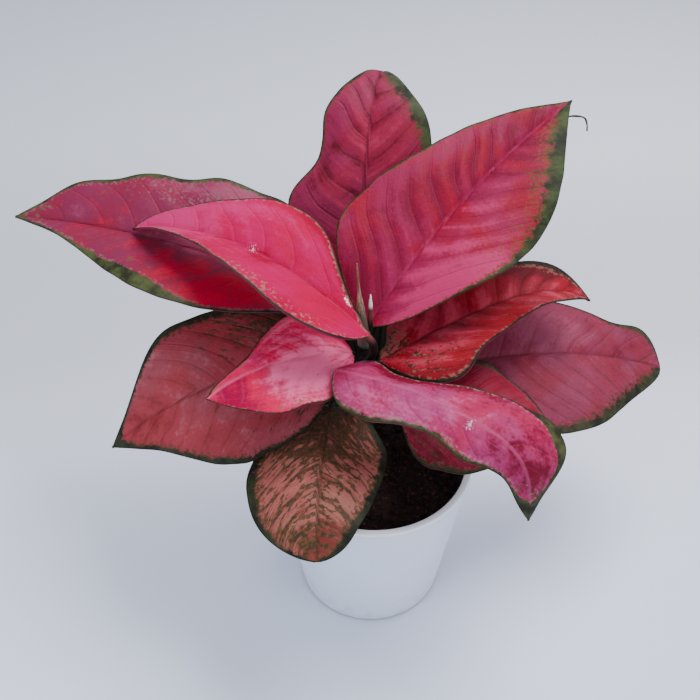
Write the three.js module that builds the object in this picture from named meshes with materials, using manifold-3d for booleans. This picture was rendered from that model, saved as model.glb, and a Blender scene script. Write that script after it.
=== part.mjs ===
// Potted chinese evergreen: eleven broad pink and red leaves and one rolled new leaf
// on a short cane, in a filled plain white nursery pot.
// Millimetres, +Z up. The origin is the middle of the pot's underside, on the floor.
// +X is to the viewer's right and -Y is the front, where the blunt mottled leaf hangs.
import * as THREE from 'three';
import { mergeVertices } from 'three/addons/utils/BufferGeometryUtils.js';
import Module from 'manifold-3d';

const wasm = await Module();
wasm.setup();

// ---------------------------------------------------------------- driving dimensions
const GAP = 0.3; // clearance between pieces that rest on each other
const WELD = 1e-4; // points nearer than this are one point
const WITHIN = 1e-3; // how far inside its ends a share of a length is kept

const POT = {
  height: 100,
  baseRadius: 41.4,
  rimRadius: 54,
  lipHeight: 8,
  lipStep: 1.6,
  lipWidth: 3.8,
  wall: 2.2,
  floor: 2.8,
  edge: 1,
  sides: 48,
};
const DRAIN = { count: 6, radius: 4, ring: 26, sides: 16 };

const SOIL = { level: 91, lump: 1.4, rings: 9, sides: 40, holeDepth: 34 };
// Two crossed waves lift the soil: turns per millimetre in x and y, and where each starts.
const COARSE_LUMP = { share: 0.6, x: 0.19, startX: 1.3, y: 0.23, startY: -0.4 };
const FINE_LUMP = { share: 0.4, x: 0.47, startX: 0.5, y: 0.39, startY: 0.9 };

const CANE = {
  foot: [-4, 11, SOIL.level - SOIL.holeDepth + 2 * GAP],
  head: [-5, 14, 166],
  footRadius: 6.5,
  headRadius: 3.6,
  nodes: 6,
  ring: 8,
  swell: 0.5,
  lean: 1,
  sides: 12,
};

// A petiole's radius falls from its sheath to its end. It rises and arrives as a curve whose
// handles are these shares of its reach.
const PETIOLE = {
  sheath: 4.4,
  middle: 2.5,
  end: 1.9,
  rising: 0.45,
  arriving: 0.35,
  seat: 0.8,
  steps: 9,
  sides: 8,
};

const BLADE = {
  thick: 1.0,
  rib: 1.3,
  stem: 2.0,
  stemThick: 2.6,
  stemFade: 6,
  tip: 0.5,
  rows: 24,
  columns: [0.12, 0.42, 0.74, 1],
  veins: 6,
  quilt: 0.8,
  sweep: 0.25,
};

// A leaf's midrib starts at base and runs length along a heading (degrees from +X, turning
// to +Y) and a rise above the level, both given at even stations. roll turns the blade about
// its midrib. Sides are [left, right] as seen along the heading: fold lifts the halves, curl
// bends them back, edge scales the half width at even stations, and wave is a margin wave's
// [height, count, start]. foot is the height on the cane where the petiole leaves it, and lobe
// is the share of the midrib by which the blade's rounded base reaches back past the petiole.
const EVEN = [1, 1, 1, 1, 1, 1, 1];
const LEAVES = {
  leaf_back: {
    base: [-8, 53, 159],
    heading: [88, 84, 80, 76],
    rise: [60, 52, 38, -50],
    length: 156,
    width: 79,
    widest: 0.36,
    blunt: 0.8,
    roll: [0, 0],
    fold: [14, 6],
    curl: [-20, -20],
    edge: [[0.3, 0.6, 1, 0.66, 0.74, 0.46, 0.5], [0.8, 0.85, 0.9, 0.94, 0.95, 0.63, 0.45]],
    wave: [[2, 1.6, 0.1], [2, 1.6, 0.3]],
    foot: 128,
  },
  leaf_upper_right: {
    base: [-3, 20, 173],
    heading: [50, 45, 40],
    rise: [35, 22, 13],
    length: 172,
    width: 88,
    widest: 0.38,
    blunt: 1,
    roll: [15, 15],
    fold: [24, 18],
    curl: [-20, -20],
    edge: [[0.8, 1.1, 0.95, 0.8, 0.8, 0.72, 0.6], [0.6, 0.74, 0.96, 1.09, 1.12, 1.04, 0.85]],
    wave: [[1.5, 2.5, 0.1], [1.5, 2.5, 0.6]],
    foot: 150,
  },
  leaf_upper_left: {
    base: [-4, 4, 180],
    heading: [150, 150],
    rise: [38, 5, -26],
    length: 151,
    width: 63,
    widest: 0.42,
    blunt: 1,
    roll: [0, 0],
    fold: [26, 26],
    curl: [-18, -18],
    edge: [[1.6, 1.3, 0.96, 0.74, 0.42, 0.5, 0.6], [0.25, 0.5, 0.97, 1.1, 0.86, 1, 1.6]],
    wave: [[1.5, 2.5, 0.1], [1.5, 2.5, 0.6]],
    foot: 145,
  },
  leaf_far_left: {
    base: [-21, 47, 166],
    heading: [165, 166],
    rise: [20, 8, -6],
    length: 184,
    width: 84,
    widest: 0.42,
    blunt: 1,
    roll: [-15, -15],
    fold: [22, 22],
    curl: [-20, -20],
    edge: [[0.9, 0.87, 0.95, 0.97, 0.8, 0.6, 0.6], [0.8, 1.13, 1.1, 1, 1.02, 1.18, 1.2]],
    wave: [[1.5, 2.5, 0.1], [2, 4.8, 0.2]],
    foot: 134,
  },
  leaf_lower_left: {
    base: [-16, 22, 152],
    heading: [192, 196, 200],
    rise: [2, -14, -38],
    length: 131,
    width: 80,
    widest: 0.42,
    blunt: 1,
    roll: [-25, -25],
    fold: [12, 12],
    curl: [-20, -20],
    edge: [[1.2, 1.15, 1.08, 1.14, 1.08, 0.9, 0.85], [1.3, 1.1, 0.98, 1.03, 1.11, 0.87, 0.5]],
    wave: [[1.5, 2.5, 0.1], [1.5, 2.5, 0.6]],
    foot: 112,
  },
  leaf_small_left: {
    base: [-11, 12, 160.2],
    heading: [200, 209, 218],
    rise: [22, 7, -18],
    length: 80,
    width: 55,
    widest: 0.42,
    blunt: 1,
    roll: [-12, -12],
    fold: [6, 6],
    curl: [-12, -12],
    edge: [[1.1, 1.05, 1.05, 1.05, 1.2, 1.5, 2], [1.5, 1.15, 1.0, 0.72, 0.36, 0.35, 0.5]],
    wave: [[1.5, 2.5, 0.1], [1.5, 2.5, 0.6]],
    foot: 132,
  },
  leaf_front: {
    base: [-22, 4, 130],
    heading: [264, 266, 272],
    rise: [8, -6, -30],
    length: 88,
    width: 68,
    widest: 0.42,
    blunt: 0.6,
    roll: [4, 4],
    fold: [6, 6],
    curl: [-20, -20],
    edge: [[0.8, 0.85, 0.92, 0.9, 0.84, 0.85, 1], [1, 1, 1, 1.1, 1.15, 1.25, 1.3]],
    wave: [[1.5, 2.5, 0.1], [1.5, 2.5, 0.6]],
    foot: 100,
  },
  leaf_arching_right: {
    base: [-19, -6.6, 166.3],
    heading: [330, 330, 331, 329, 324, 316],
    rise: [18, 8, -7, -20, -70, -88],
    length: 139,
    lobe: 0.08,
    width: 62,
    widest: 0.42,
    blunt: 1,
    roll: [0, 2, 6, 18, 34, 40],
    fold: [-14, -8],
    curl: [-14, -14],
    edge: [
      [2.6, 1.25, 0.55, 0.4, 0.47, 0.6, 0.73, 0.86, 1.02, 1.36, 1.58, 0.85, 0.75],
      [1.6, 1.07, 0.86, 0.6, 0.49, 0.63, 0.58, 0.54, 0.66, 0.9],
    ],
    wave: [[1.5, 2.5, 0.1], [1.5, 2.5, 0.6]],
    foot: 125,
  },
  leaf_middle_right: {
    base: [3, 13, 155],
    heading: [28, 28, 24, 8],
    rise: [14, 8, -3, -36],
    length: 134,
    width: 60,
    widest: 0.42,
    blunt: 1,
    roll: [0, 0],
    fold: [20, 20],
    curl: [-20, -20],
    edge: [[1, 1, 1, 1, 1.05, 1.45, 2.2], [2.4, 1.8, 0.98, 0.72, 0.7, 0.7, 0.8]],
    wave: [[1.5, 2.5, 0.1], [1.5, 2.5, 0.6]],
    foot: 118,
  },
  leaf_far_right: {
    base: [21, 34, 125],
    heading: [14, 12, 7],
    rise: [8, -8, -26],
    length: 158,
    width: 93,
    widest: 0.5,
    blunt: 0.55,
    roll: [22, 22],
    fold: [12, 12],
    curl: [-20, -20],
    edge: [[0.9, 0.9, 0.8, 0.75, 0.72, 0.66, 1.3], [1, 1, 1.05, 1.05, 1, 0.78, 0.6]],
    wave: [[1.5, 2.5, 0.1], [1.5, 2.5, 0.6]],
    foot: 104,
  },
  leaf_lower_right: {
    base: [13, 2, 138],
    heading: [348, 350],
    rise: [6, -8, -30],
    length: 84,
    width: 67,
    widest: 0.42,
    blunt: 1,
    roll: [12, 12],
    fold: [5, 5],
    curl: [-20, -20],
    edge: [EVEN, [1.3, 1.3, 1.1, 1.02, 0.96, 0.94, 1]],
    wave: [[1.5, 2.5, 0.1], [1.5, 2.5, 0.6]],
    foot: 108,
  },
};

const SPEAR = {
  foot: [-5, 14, 160],
  tip: [-9, 16, 214],
  radius: 2.7,
  tipRadius: 0.5,
  steps: 10,
  sides: 10,
};

// ---------------------------------------------------------------- materials
const surface = (color, roughness) => new THREE.MeshStandardMaterial({ color, roughness, metalness: 0 });
const WHITE_PLASTIC = surface(0xdfe4ee, 0.45);
const DARK_SOIL = surface(0x1c0f0b, 0.95);
const PALE_STEM = surface(0xb9b184, 0.5);
const NEW_LEAF = surface(0xd8cfa0, 0.45);
const PINK_BLADE = surface(0xd0406e, 0.4);
const RED_BLADE = surface(0xa8284a, 0.42);
const DULL_BLADE = surface(0xa85a54, 0.48);
const BLADE_SURFACES = {
  leaf_upper_left: PINK_BLADE,
  leaf_small_left: PINK_BLADE,
  leaf_arching_right: PINK_BLADE,
  leaf_lower_left: DULL_BLADE,
  leaf_front: DULL_BLADE,
};

// ---------------------------------------------------------------- helpers
const radians = (degrees) => (degrees * Math.PI) / 180;
const vector = (values) => new THREE.Vector3(...values);

// The value at s (0 to 1) of a smooth curve through evenly spaced values.
function along(values, s) {
  const last = values.length - 1;
  const at = Math.min(Math.max(s * last, 0), last);
  const i = Math.min(Math.floor(at), last - 1);
  const t = at - i;
  const b = values[i];
  const c = values[i + 1];
  const a = i > 0 ? values[i - 1] : 2 * b - c;
  const d = i + 2 <= last ? values[i + 2] : 2 * c - b;
  return b + 0.5 * t * (c - a + t * (2 * a - 5 * b + 4 * c - d + t * (3 * (b - c) + d - a)));
}

function toGeometry(points, triangles) {
  const geometry = new THREE.BufferGeometry();
  geometry.setAttribute('position', new THREE.Float32BufferAttribute(points, 3));
  geometry.setIndex(triangles);
  geometry.computeVertexNormals();
  return geometry;
}

function toSolid(geometry) {
  const bare = geometry.clone();
  bare.deleteAttribute('normal');
  bare.deleteAttribute('uv');
  const merged = mergeVertices(bare, WELD);
  const vertProperties = new Float32Array(merged.attributes.position.array);
  const triVerts = new Uint32Array(merged.index.array);
  return new wasm.Manifold(new wasm.Mesh({ numProp: 3, vertProperties, triVerts }));
}

function fromSolid(solid) {
  const mesh = solid.getMesh();
  return toGeometry(Array.from(mesh.vertProperties), Array.from(mesh.triVerts));
}

function named(name, geometry, material) {
  const mesh = new THREE.Mesh(geometry, material);
  mesh.name = name;
  return mesh;
}

// A closed body of rings of points, each ring with the same number of points, capped by fans.
function skinned(rings) {
  const sides = rings[0].length;
  const points = [];
  const triangles = [];
  for (const ring of rings) {
    for (const p of ring) points.push(p.x, p.y, p.z);
  }
  for (let i = 0; i + 1 < rings.length; i += 1) {
    for (let j = 0; j < sides; j += 1) {
      const k = (j + 1) % sides;
      const a = i * sides + j;
      const b = i * sides + k;
      const c = (i + 1) * sides + k;
      const d = (i + 1) * sides + j;
      triangles.push(a, b, c, a, c, d);
    }
  }
  const top = (rings.length - 1) * sides;
  for (let j = 1; j + 1 < sides; j += 1) {
    triangles.push(0, j + 1, j);
    triangles.push(top, top + j, top + j + 1);
  }
  return toGeometry(points, triangles);
}

// A tube along a curve whose radius changes by a function of the share of its length.
function taperedTube(curve, radiusAt, steps, sides) {
  const frames = curve.computeFrenetFrames(steps, false);
  const rings = [];
  for (let i = 0; i <= steps; i += 1) {
    const s = i / steps;
    const centre = curve.getPointAt(s);
    const ring = [];
    for (let j = 0; j < sides; j += 1) {
      const turn = (2 * Math.PI * j) / sides;
      const out = frames.normals[i].clone().multiplyScalar(Math.cos(turn));
      out.addScaledVector(frames.binormals[i], Math.sin(turn));
      ring.push(centre.clone().addScaledVector(out, radiusAt(s)));
    }
    rings.push(ring);
  }
  return skinned(rings);
}

// ---------------------------------------------------------------- pot
function potProfile() {
  const { height, baseRadius, rimRadius, lipHeight, lipStep, lipWidth, wall, floor, edge } = POT;
  const lipFoot = height - lipHeight;
  const outerTop = rimRadius - lipStep;
  const slope = (outerTop - baseRadius) / lipFoot;
  const innerAt = (z) => baseRadius + slope * z - wall;
  return [
    [0, 0],
    [baseRadius - edge, 0],
    [baseRadius + slope * edge, edge],
    [outerTop, lipFoot],
    [rimRadius, lipFoot + edge],
    [rimRadius, height - edge],
    [rimRadius - edge, height],
    [rimRadius - lipWidth + edge, height],
    [rimRadius - lipWidth, height - edge],
    [innerAt(lipFoot), lipFoot],
    [innerAt(floor + edge), floor + edge],
    [innerAt(floor) - edge, floor],
    [0, floor],
  ].map(([r, z]) => new THREE.Vector2(r, z));
}

function lathe(profile, sides) {
  const geometry = new THREE.LatheGeometry(profile, sides);
  return geometry.rotateX(Math.PI / 2);
}

function pot() {
  let solid = toSolid(lathe(potProfile(), POT.sides));
  for (let i = 0; i < DRAIN.count; i += 1) {
    const turn = (2 * Math.PI * i) / DRAIN.count;
    const drill = new THREE.CylinderGeometry(DRAIN.radius, DRAIN.radius, 3 * POT.floor, DRAIN.sides);
    drill.rotateX(Math.PI / 2);
    drill.translate(DRAIN.ring * Math.cos(turn), DRAIN.ring * Math.sin(turn), 0);
    solid = solid.subtract(toSolid(drill));
  }
  return named('pot', fromSolid(solid), WHITE_PLASTIC);
}

// ---------------------------------------------------------------- soil
function soilRadius(z) {
  const lipFoot = POT.height - POT.lipHeight;
  const slope = (POT.rimRadius - POT.lipStep - POT.baseRadius) / lipFoot;
  const facetLoss = Math.cos(Math.PI / POT.sides);
  return (POT.baseRadius + slope * z - POT.wall) * facetLoss - GAP;
}

function lump(x, y) {
  let height = 0;
  for (const wave of [COARSE_LUMP, FINE_LUMP]) {
    height += wave.share * Math.sin(wave.x * x + wave.startX) * Math.cos(wave.y * y + wave.startY);
  }
  return SOIL.lump * height;
}

function soil() {
  const rings = [];
  const ringAt = (radius, heightAt) => {
    const ring = [];
    for (let j = 0; j < SOIL.sides; j += 1) {
      const turn = (2 * Math.PI * j) / SOIL.sides;
      const x = radius * Math.cos(turn);
      const y = radius * Math.sin(turn);
      ring.push(new THREE.Vector3(x, y, heightAt(x, y)));
    }
    return ring;
  };
  const foot = POT.floor + GAP;
  rings.push(ringAt(soilRadius(foot) - 2 * POT.edge, () => foot));
  rings.push(ringAt(soilRadius(foot + 2 * POT.edge), () => foot + 2 * POT.edge));
  const brim = soilRadius(SOIL.level - 2 * SOIL.lump);
  for (let i = SOIL.rings; i >= 1; i -= 1) {
    rings.push(ringAt((brim * i) / SOIL.rings, (x, y) => SOIL.level + lump(x, y)));
  }
  const body = toSolid(skinned(rings));
  const hole = new THREE.CylinderGeometry(1, 1, 2 * SOIL.holeDepth, CANE.sides);
  const reach = (CANE.footRadius + CANE.swell + CANE.lean + GAP) / Math.cos(Math.PI / CANE.sides);
  hole.rotateX(Math.PI / 2);
  hole.scale(reach, reach, 1);
  hole.translate(CANE.foot[0], CANE.foot[1], SOIL.level);
  return named('soil', fromSolid(body.subtract(toSolid(hole))), DARK_SOIL);
}

// ---------------------------------------------------------------- leaf blades
// Where the midrib runs: a frame at each station, with the blade's across and up directions.
function midrib(leaf, rows) {
  const frames = [];
  const step = leaf.length / rows;
  const point = vector(leaf.base);
  let previous = null;
  for (let i = 0; i <= rows; i += 1) {
    const s = i / rows;
    const a = radians(along(leaf.heading, s));
    const e = radians(along(leaf.rise, s));
    const r = radians(along(leaf.roll, s));
    const ahead = new THREE.Vector3(Math.cos(e) * Math.cos(a), Math.cos(e) * Math.sin(a), Math.sin(e));
    if (previous) point.add(previous.clone().add(ahead).multiplyScalar(step / 2));
    const level = new THREE.Vector3(-Math.sin(a), Math.cos(a), 0);
    const above = ahead.clone().cross(level);
    const across = level.clone().multiplyScalar(Math.cos(r)).addScaledVector(above, Math.sin(r));
    const up = above.clone().multiplyScalar(Math.cos(r)).addScaledVector(level, -Math.sin(r));
    frames.push({ s, point: point.clone(), ahead, across, up });
    previous = ahead;
  }
  return frames;
}

// The half width's share at s: it rises from the petiole and falls to the tip.
function outline(s, widest, blunt) {
  const rise = (blunt * widest) / (1 - widest);
  const peak = rise / (rise + blunt);
  return (s ** rise * (1 - s) ** blunt) / (peak ** rise * (1 - peak) ** blunt);
}

// A point of the blade's middle layer: u runs from the midrib (0) to the margin (1).
function bladePoint(leaf, frame, side, u) {
  const { s } = frame;
  const inner = Math.min(Math.max(s, WITHIN), 1 - WITHIN);
  const shape = (leaf.width / 2) * outline(inner, leaf.widest, leaf.blunt) * along(leaf.edge[side], s);
  const least = BLADE.stem + (BLADE.tip - BLADE.stem) * s;
  const reach = Math.max(shape, least) * u;
  const angle = radians(leaf.fold[side] + (leaf.curl[side] * u) / 2);
  const [height, count, start] = leaf.wave[side];
  const swing = Math.sqrt(Math.sin(Math.PI * s)) * Math.sin(2 * Math.PI * (count * s + start));
  const wave = height * u * u * swing;
  const out = side === 0 ? 1 : -1;
  const point = frame.point.clone();
  point.addScaledVector(frame.across, out * reach * Math.cos(angle));
  point.addScaledVector(frame.up, reach * Math.sin(angle) + wave + quilting(s, u));
  return point;
}

// The blade is puffed up between its side veins, which sweep forward from the midrib.
function quilting(s, u) {
  const vein = BLADE.veins * (s - BLADE.sweep * u * (1 - s));
  return -BLADE.quilt * Math.sin(Math.PI * s) * Math.sin(Math.PI * u) * Math.cos(2 * Math.PI * vein);
}

function bladeRows(leaf) {
  return midrib(leaf, BLADE.rows).map((frame) => {
    const right = [...BLADE.columns].reverse().map((u) => bladePoint(leaf, frame, 1, u));
    const left = BLADE.columns.map((u) => bladePoint(leaf, frame, 0, u));
    return [...right, frame.point.clone(), ...left];
  });
}

function bladeNormal(rows, i, j) {
  const before = rows[Math.max(i - 1, 0)][j];
  const after = rows[Math.min(i + 1, rows.length - 1)][j];
  const right = rows[i][Math.max(j - 1, 0)];
  const left = rows[i][Math.min(j + 1, rows[i].length - 1)];
  return after.clone().sub(before).cross(left.clone().sub(right)).normalize();
}

// Both faces are the same grid, moved apart along its normals and split by like diagonals.
function bladeGeometry(leaf) {
  const rows = bladeRows(leaf);
  const columns = rows[0].length;
  const middle = BLADE.columns.length;
  const points = [];
  for (const face of [1, -1]) {
    rows.forEach((row, i) => {
      const s = i / BLADE.rows;
      row.forEach((p, j) => {
        const stem = (BLADE.stemThick - BLADE.thick) * (1 - s) ** BLADE.stemFade;
        const rib = face < 0 && j === middle ? BLADE.rib * (1 - s) : 0;
        const offset = face * ((BLADE.thick + stem) / 2 + rib);
        const q = p.clone().addScaledVector(bladeNormal(rows, i, j), offset);
        points.push(q.x, q.y, q.z);
      });
    });
  }
  return toGeometry(points, bladeTriangles(rows.length, columns));
}

function bladeTriangles(rowCount, columns) {
  const under = rowCount * columns;
  const triangles = [];
  const quad = (a, b, c, d) => triangles.push(a, b, c, a, c, d);
  for (let i = 0; i + 1 < rowCount; i += 1) {
    for (let j = 0; j + 1 < columns; j += 1) {
      const a = i * columns + j;
      const b = a + columns;
      triangles.push(a, b, b + 1, a, b + 1, a + 1);
      triangles.push(under + a, under + b + 1, under + b, under + a, under + a + 1, under + b + 1);
    }
    const right = i * columns;
    const left = right + columns - 1;
    quad(right, right + under, right + columns + under, right + columns);
    quad(left, left + columns, left + columns + under, left + under);
  }
  const last = (rowCount - 1) * columns;
  for (let j = 0; j + 1 < columns; j += 1) {
    quad(j, j + 1, j + 1 + under, j + under);
    quad(last + j, last + j + under, last + j + 1 + under, last + j + 1);
  }
  return triangles;
}

// ---------------------------------------------------------------- cane, petioles, new leaf
function caneAt(z) {
  const foot = vector(CANE.foot);
  const head = vector(CANE.head);
  return foot.lerp(head, (z - CANE.foot[2]) / (CANE.head[2] - CANE.foot[2]));
}

function cane() {
  const curve = new THREE.LineCurve3(vector(CANE.foot), vector(CANE.head));
  const radiusAt = (s) => {
    const ring = Math.cos(2 * Math.PI * CANE.nodes * s) ** CANE.ring;
    return CANE.footRadius + (CANE.headRadius - CANE.footRadius) * s + CANE.swell * ring;
  };
  return toSolid(taperedTube(curve, radiusAt, 4 * CANE.nodes, CANE.sides));
}

// A petiole butts against the blade's stem end, or meets the rib from below under a lobed base.
function petiole(leaf) {
  const frame = midrib(leaf, BLADE.rows)[Math.round((leaf.lobe ?? 0) * BLADE.rows)];
  const arriving = leaf.lobe ? frame.up : frame.ahead;
  const seat = leaf.lobe ? BLADE.stemThick / 2 + BLADE.rib + GAP : PETIOLE.seat;
  const end = frame.point.clone().addScaledVector(arriving, -seat);
  const start = caneAt(leaf.foot);
  const reach = end.distanceTo(start);
  const rising = start.clone().add(new THREE.Vector3(0, 0, PETIOLE.rising * reach));
  const leaving = end.clone().addScaledVector(arriving, -PETIOLE.arriving * reach);
  const curve = new THREE.CubicBezierCurve3(start, rising, leaving, end);
  const { sheath, middle, end: tip } = PETIOLE;
  const radiusAt = (s) => (s < 0.5 ? along([sheath, middle], 2 * s) : along([middle, tip], 2 * s - 1));
  return toSolid(taperedTube(curve, radiusAt, PETIOLE.steps, PETIOLE.sides));
}

function shoot() {
  let solid = cane();
  for (const leaf of Object.values(LEAVES)) solid = solid.add(petiole(leaf));
  const socket = toSolid(spear(GAP));
  return named('cane_and_petioles', fromSolid(solid.subtract(socket)), PALE_STEM);
}

// The new leaf is still rolled to a point, and its foot stands in the youngest petiole's sheath.
function spear(clearance) {
  const foot = vector(SPEAR.foot).add(new THREE.Vector3(0, 0, -clearance));
  const curve = new THREE.LineCurve3(foot, vector(SPEAR.tip));
  const radiusAt = (s) => SPEAR.radius + (SPEAR.tipRadius - SPEAR.radius) * s + clearance;
  return taperedTube(curve, radiusAt, SPEAR.steps, SPEAR.sides);
}

// ---------------------------------------------------------------- assembly
const plant = new THREE.Group();
plant.add(pot(), soil(), shoot(), named('rolled_new_leaf', spear(0), NEW_LEAF));
for (const [name, leaf] of Object.entries(LEAVES)) {
  plant.add(named(name, bladeGeometry(leaf), BLADE_SURFACES[name] ?? RED_BLADE));
}

export default plant;
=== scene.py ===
# %% [markdown]
# # A potted chinese evergreen
# A young house plant with broad pink and red leaves, edged and mottled with green, on a short
# cane in a plain white nursery pot. This notebook dresses a packed model of it: the model gives
# the frame, and each cell below makes one piece or one finish. Lengths in the tables are
# millimetres, because that is how a plant is measured, and MM turns them into Blender's metres.

import math

import bmesh
import bpy
import numpy as np
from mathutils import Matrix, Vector


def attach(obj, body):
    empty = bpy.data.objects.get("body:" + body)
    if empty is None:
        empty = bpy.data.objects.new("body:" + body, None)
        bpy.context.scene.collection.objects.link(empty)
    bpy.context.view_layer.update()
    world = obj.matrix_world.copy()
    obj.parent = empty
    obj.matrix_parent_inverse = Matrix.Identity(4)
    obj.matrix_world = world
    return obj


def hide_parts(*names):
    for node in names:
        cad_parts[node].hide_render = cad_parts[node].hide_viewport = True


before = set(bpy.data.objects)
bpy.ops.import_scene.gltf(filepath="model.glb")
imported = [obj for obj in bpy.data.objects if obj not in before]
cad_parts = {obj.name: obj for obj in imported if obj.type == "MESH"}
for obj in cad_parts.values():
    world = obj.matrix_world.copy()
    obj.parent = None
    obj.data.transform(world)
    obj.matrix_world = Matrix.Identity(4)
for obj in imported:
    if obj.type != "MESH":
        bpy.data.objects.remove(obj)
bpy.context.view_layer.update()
MM = 0.001

# %% [markdown]
# ## The camera and the stage
# The plant is seen from in front and above. The arcs of the pot's rim and foot gave the tilt and
# the distance, so the camera is placed by one point that it looks at, its tilt and its distance.
# The stage is a pale, slightly cool floor. A big soft light overhead gives the leaves their
# broad sheen, a weaker one from the right leaves the left side of the pot in soft shade, and a
# weak bluish one low on the left keeps that shade from going dull.

# %% Camera
LOOK_AT = Vector((-12.2, 0.0, 174.5)) * MM
TILT = math.radians(42.0)
DISTANCE = 409.0 * MM
IMAGE_SIDE = 700
FOCAL_PIXELS = 850.0
SENSOR = 36.0

lens = bpy.data.cameras.new("camera")
lens.sensor_width = SENSOR
lens.lens = SENSOR * FOCAL_PIXELS / IMAGE_SIDE
lens.clip_start = 0.01
camera = bpy.data.objects.new("camera", lens)
camera.location = LOOK_AT + Vector((0.0, -math.cos(TILT), math.sin(TILT))) * DISTANCE
camera.rotation_euler = (math.pi / 2 - TILT, 0.0, 0.0)
bpy.context.collection.objects.link(camera)
bpy.context.scene.camera = camera
print("camera at", [round(c, 3) for c in camera.location], "lens", round(lens.lens, 1))

# %% Lights
CROWN = (0.0, 0.0, 0.15)
LOW_LEFT = (-0.15, -0.12, 0.05)
NEAR_WHITE = (0.97, 0.98, 1.0)
BLUISH = (0.84, 0.92, 1.0)


def soft_light(name, place, aim, side, power, tint):
    """A square area light that points at a place."""
    lamp = bpy.data.lights.new(name, "AREA")
    lamp.shape = "SQUARE"
    lamp.size = side
    lamp.energy = power
    lamp.color = tint
    light = bpy.data.objects.new(name, lamp)
    light.location = place
    light.rotation_euler = (Vector(aim) - Vector(place)).to_track_quat("-Z", "Y").to_euler()
    bpy.context.collection.objects.link(light)


soft_light("overhead", (0.35, 0.3, 1.15), CROWN, 0.7, 18.0, NEAR_WHITE)
soft_light("side_fill", (1.1, -0.8, 0.7), CROWN, 0.9, 7.0, NEAR_WHITE)
soft_light("low_fill", (-0.9, -0.8, 0.6), LOW_LEFT, 0.9, 6.5, BLUISH)
world = bpy.data.worlds.new("room")
world.use_nodes = True
glow = world.node_tree.nodes["Background"].inputs
glow["Color"].default_value = (0.84, 0.89, 1.0, 1.0)
glow["Strength"].default_value = 0.78
bpy.context.scene.world = world

# %% [markdown]
# ## Finishes
# Every finish is a set of shader nodes that is worked out as sums. One small class wraps a
# node's output, so that `1 - mask` or `noise * 0.3` adds the Math nodes for it. A Finish holds
# one material and makes every other node, and its mix() blends colours.


# %% A wire that Python can do sums with
class Wire:
    """The output of a shader node, as a value in a sum."""

    def __init__(self, finish, socket):
        self.finish = finish
        self.socket = socket

    def math(self, operation, *values):
        """A Math node, with its values in the order that the operation reads them."""
        inputs = dict(enumerate(values))
        return self.finish.node("ShaderNodeMath", {"operation": operation}, inputs)

    def __add__(self, other):
        return self.math("ADD", self, other)

    def __sub__(self, other):
        return self.math("SUBTRACT", self, other)

    def __rsub__(self, other):
        return self.math("SUBTRACT", other, self)

    def __mul__(self, other):
        return self.math("MULTIPLY", self, other)

    def __abs__(self):
        return self.math("ABSOLUTE", self)

    __radd__ = __add__
    __rmul__ = __mul__

    def most(self, other):
        return self.math("MAXIMUM", self, other)

    def fold(self, high):
        """Runs up and down between 0 and high, so it is 0 at each even multiple of high."""
        return self.math("PINGPONG", self, high)

    def step(self, low, high):
        """0 at low, 1 at high, smooth between them and level outside. low may be the larger."""
        settings = {"interpolation_type": "SMOOTHSTEP"}
        inputs = {"Value": self, "From Min": low, "From Max": high}
        return self.finish.node("ShaderNodeMapRange", settings, inputs)


print("a wire can:", [name.strip("_") for name in vars(Wire) if callable(vars(Wire)[name])])


# %% A finish, and the one method that makes its nodes
class Finish:
    """One material, wired up from Python."""

    def __init__(self, name):
        self.material = bpy.data.materials.new(name)
        self.material.use_nodes = True
        self.tree = self.material.node_tree
        self.shader = self.tree.nodes["Principled BSDF"]

    def node(self, kind, settings=None, inputs=None, output=0):
        """A node of a kind: settings first, then its sockets' values or wires."""
        new = self.tree.nodes.new(kind)
        for name, value in (settings or {}).items():
            setattr(new, name, value)
        for key, value in (inputs or {}).items():
            self.plug(new.inputs[key], value)
        return Wire(self, new.outputs[output])

    def plug(self, socket, value):
        if isinstance(value, Wire):
            self.tree.links.new(value.socket, socket)
        else:
            socket.default_value = value

    def mix(self, share, first, second):
        """A colour between two colours. Sockets 0, 6 and 7 are the factor, A and B."""
        settings = {"data_type": "RGBA"}
        return self.node("ShaderNodeMix", settings, {0: share, 6: first, 7: second}, 2)

    def place(self):
        """The point on the object, in metres."""
        return self.node("ShaderNodeTexCoord", None, None, "Object")

    def coordinate(self, where, axis):
        """One number of a point: 0, 1 or 2 for X, Y or Z."""
        return self.node("ShaderNodeSeparateXYZ", None, {0: where}, axis)

    def vector(self, x, y, z):
        return self.node("ShaderNodeCombineXYZ", None, {0: x, 1: y, 2: z})

    def drawn_out(self, where, share):
        """The point with its height cut to a share, which draws a pattern out along Z."""
        return self.node("ShaderNodeMapping", None, {"Vector": where, "Scale": (1.0, 1.0, share)})

    def noise(self, where, scale, detail=2.0, roughness=0.5):
        inputs = {"Vector": where, "Scale": scale, "Detail": detail, "Roughness": roughness}
        return self.node("ShaderNodeTexNoise", None, inputs)

    def cells(self, where, scale, feature="F1"):
        settings = {"feature": feature}
        return self.node("ShaderNodeTexVoronoi", settings, {"Vector": where, "Scale": scale})

    def read(self, attribute):
        """A number that the mesh carries at each of its points."""
        return self.node("ShaderNodeAttribute", {"attribute_name": attribute}, None, "Fac")

    def bump(self, height, distance):
        return self.node("ShaderNodeBump", None, {"Height": height, "Distance": distance})

    def surface(self, **inputs):
        """Sets the shader's own sockets. Underscores stand for the spaces in their names."""
        for name, value in inputs.items():
            self.plug(self.shader.inputs[name.replace("_", " ")], value)
        return self.material


def paint(red, green, blue):
    """A colour as a screen shows it, 0 to 255, as the linear colour that Blender mixes."""
    screen = [value / 255 for value in (red, green, blue)]
    linear = [v / 12.92 if v <= 0.04045 else ((v + 0.055) / 1.055) ** 2.4 for v in screen]
    return (*linear, 1.0)


print("mid grey is", round(paint(128, 128, 128)[0], 3), "in linear light")

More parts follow.
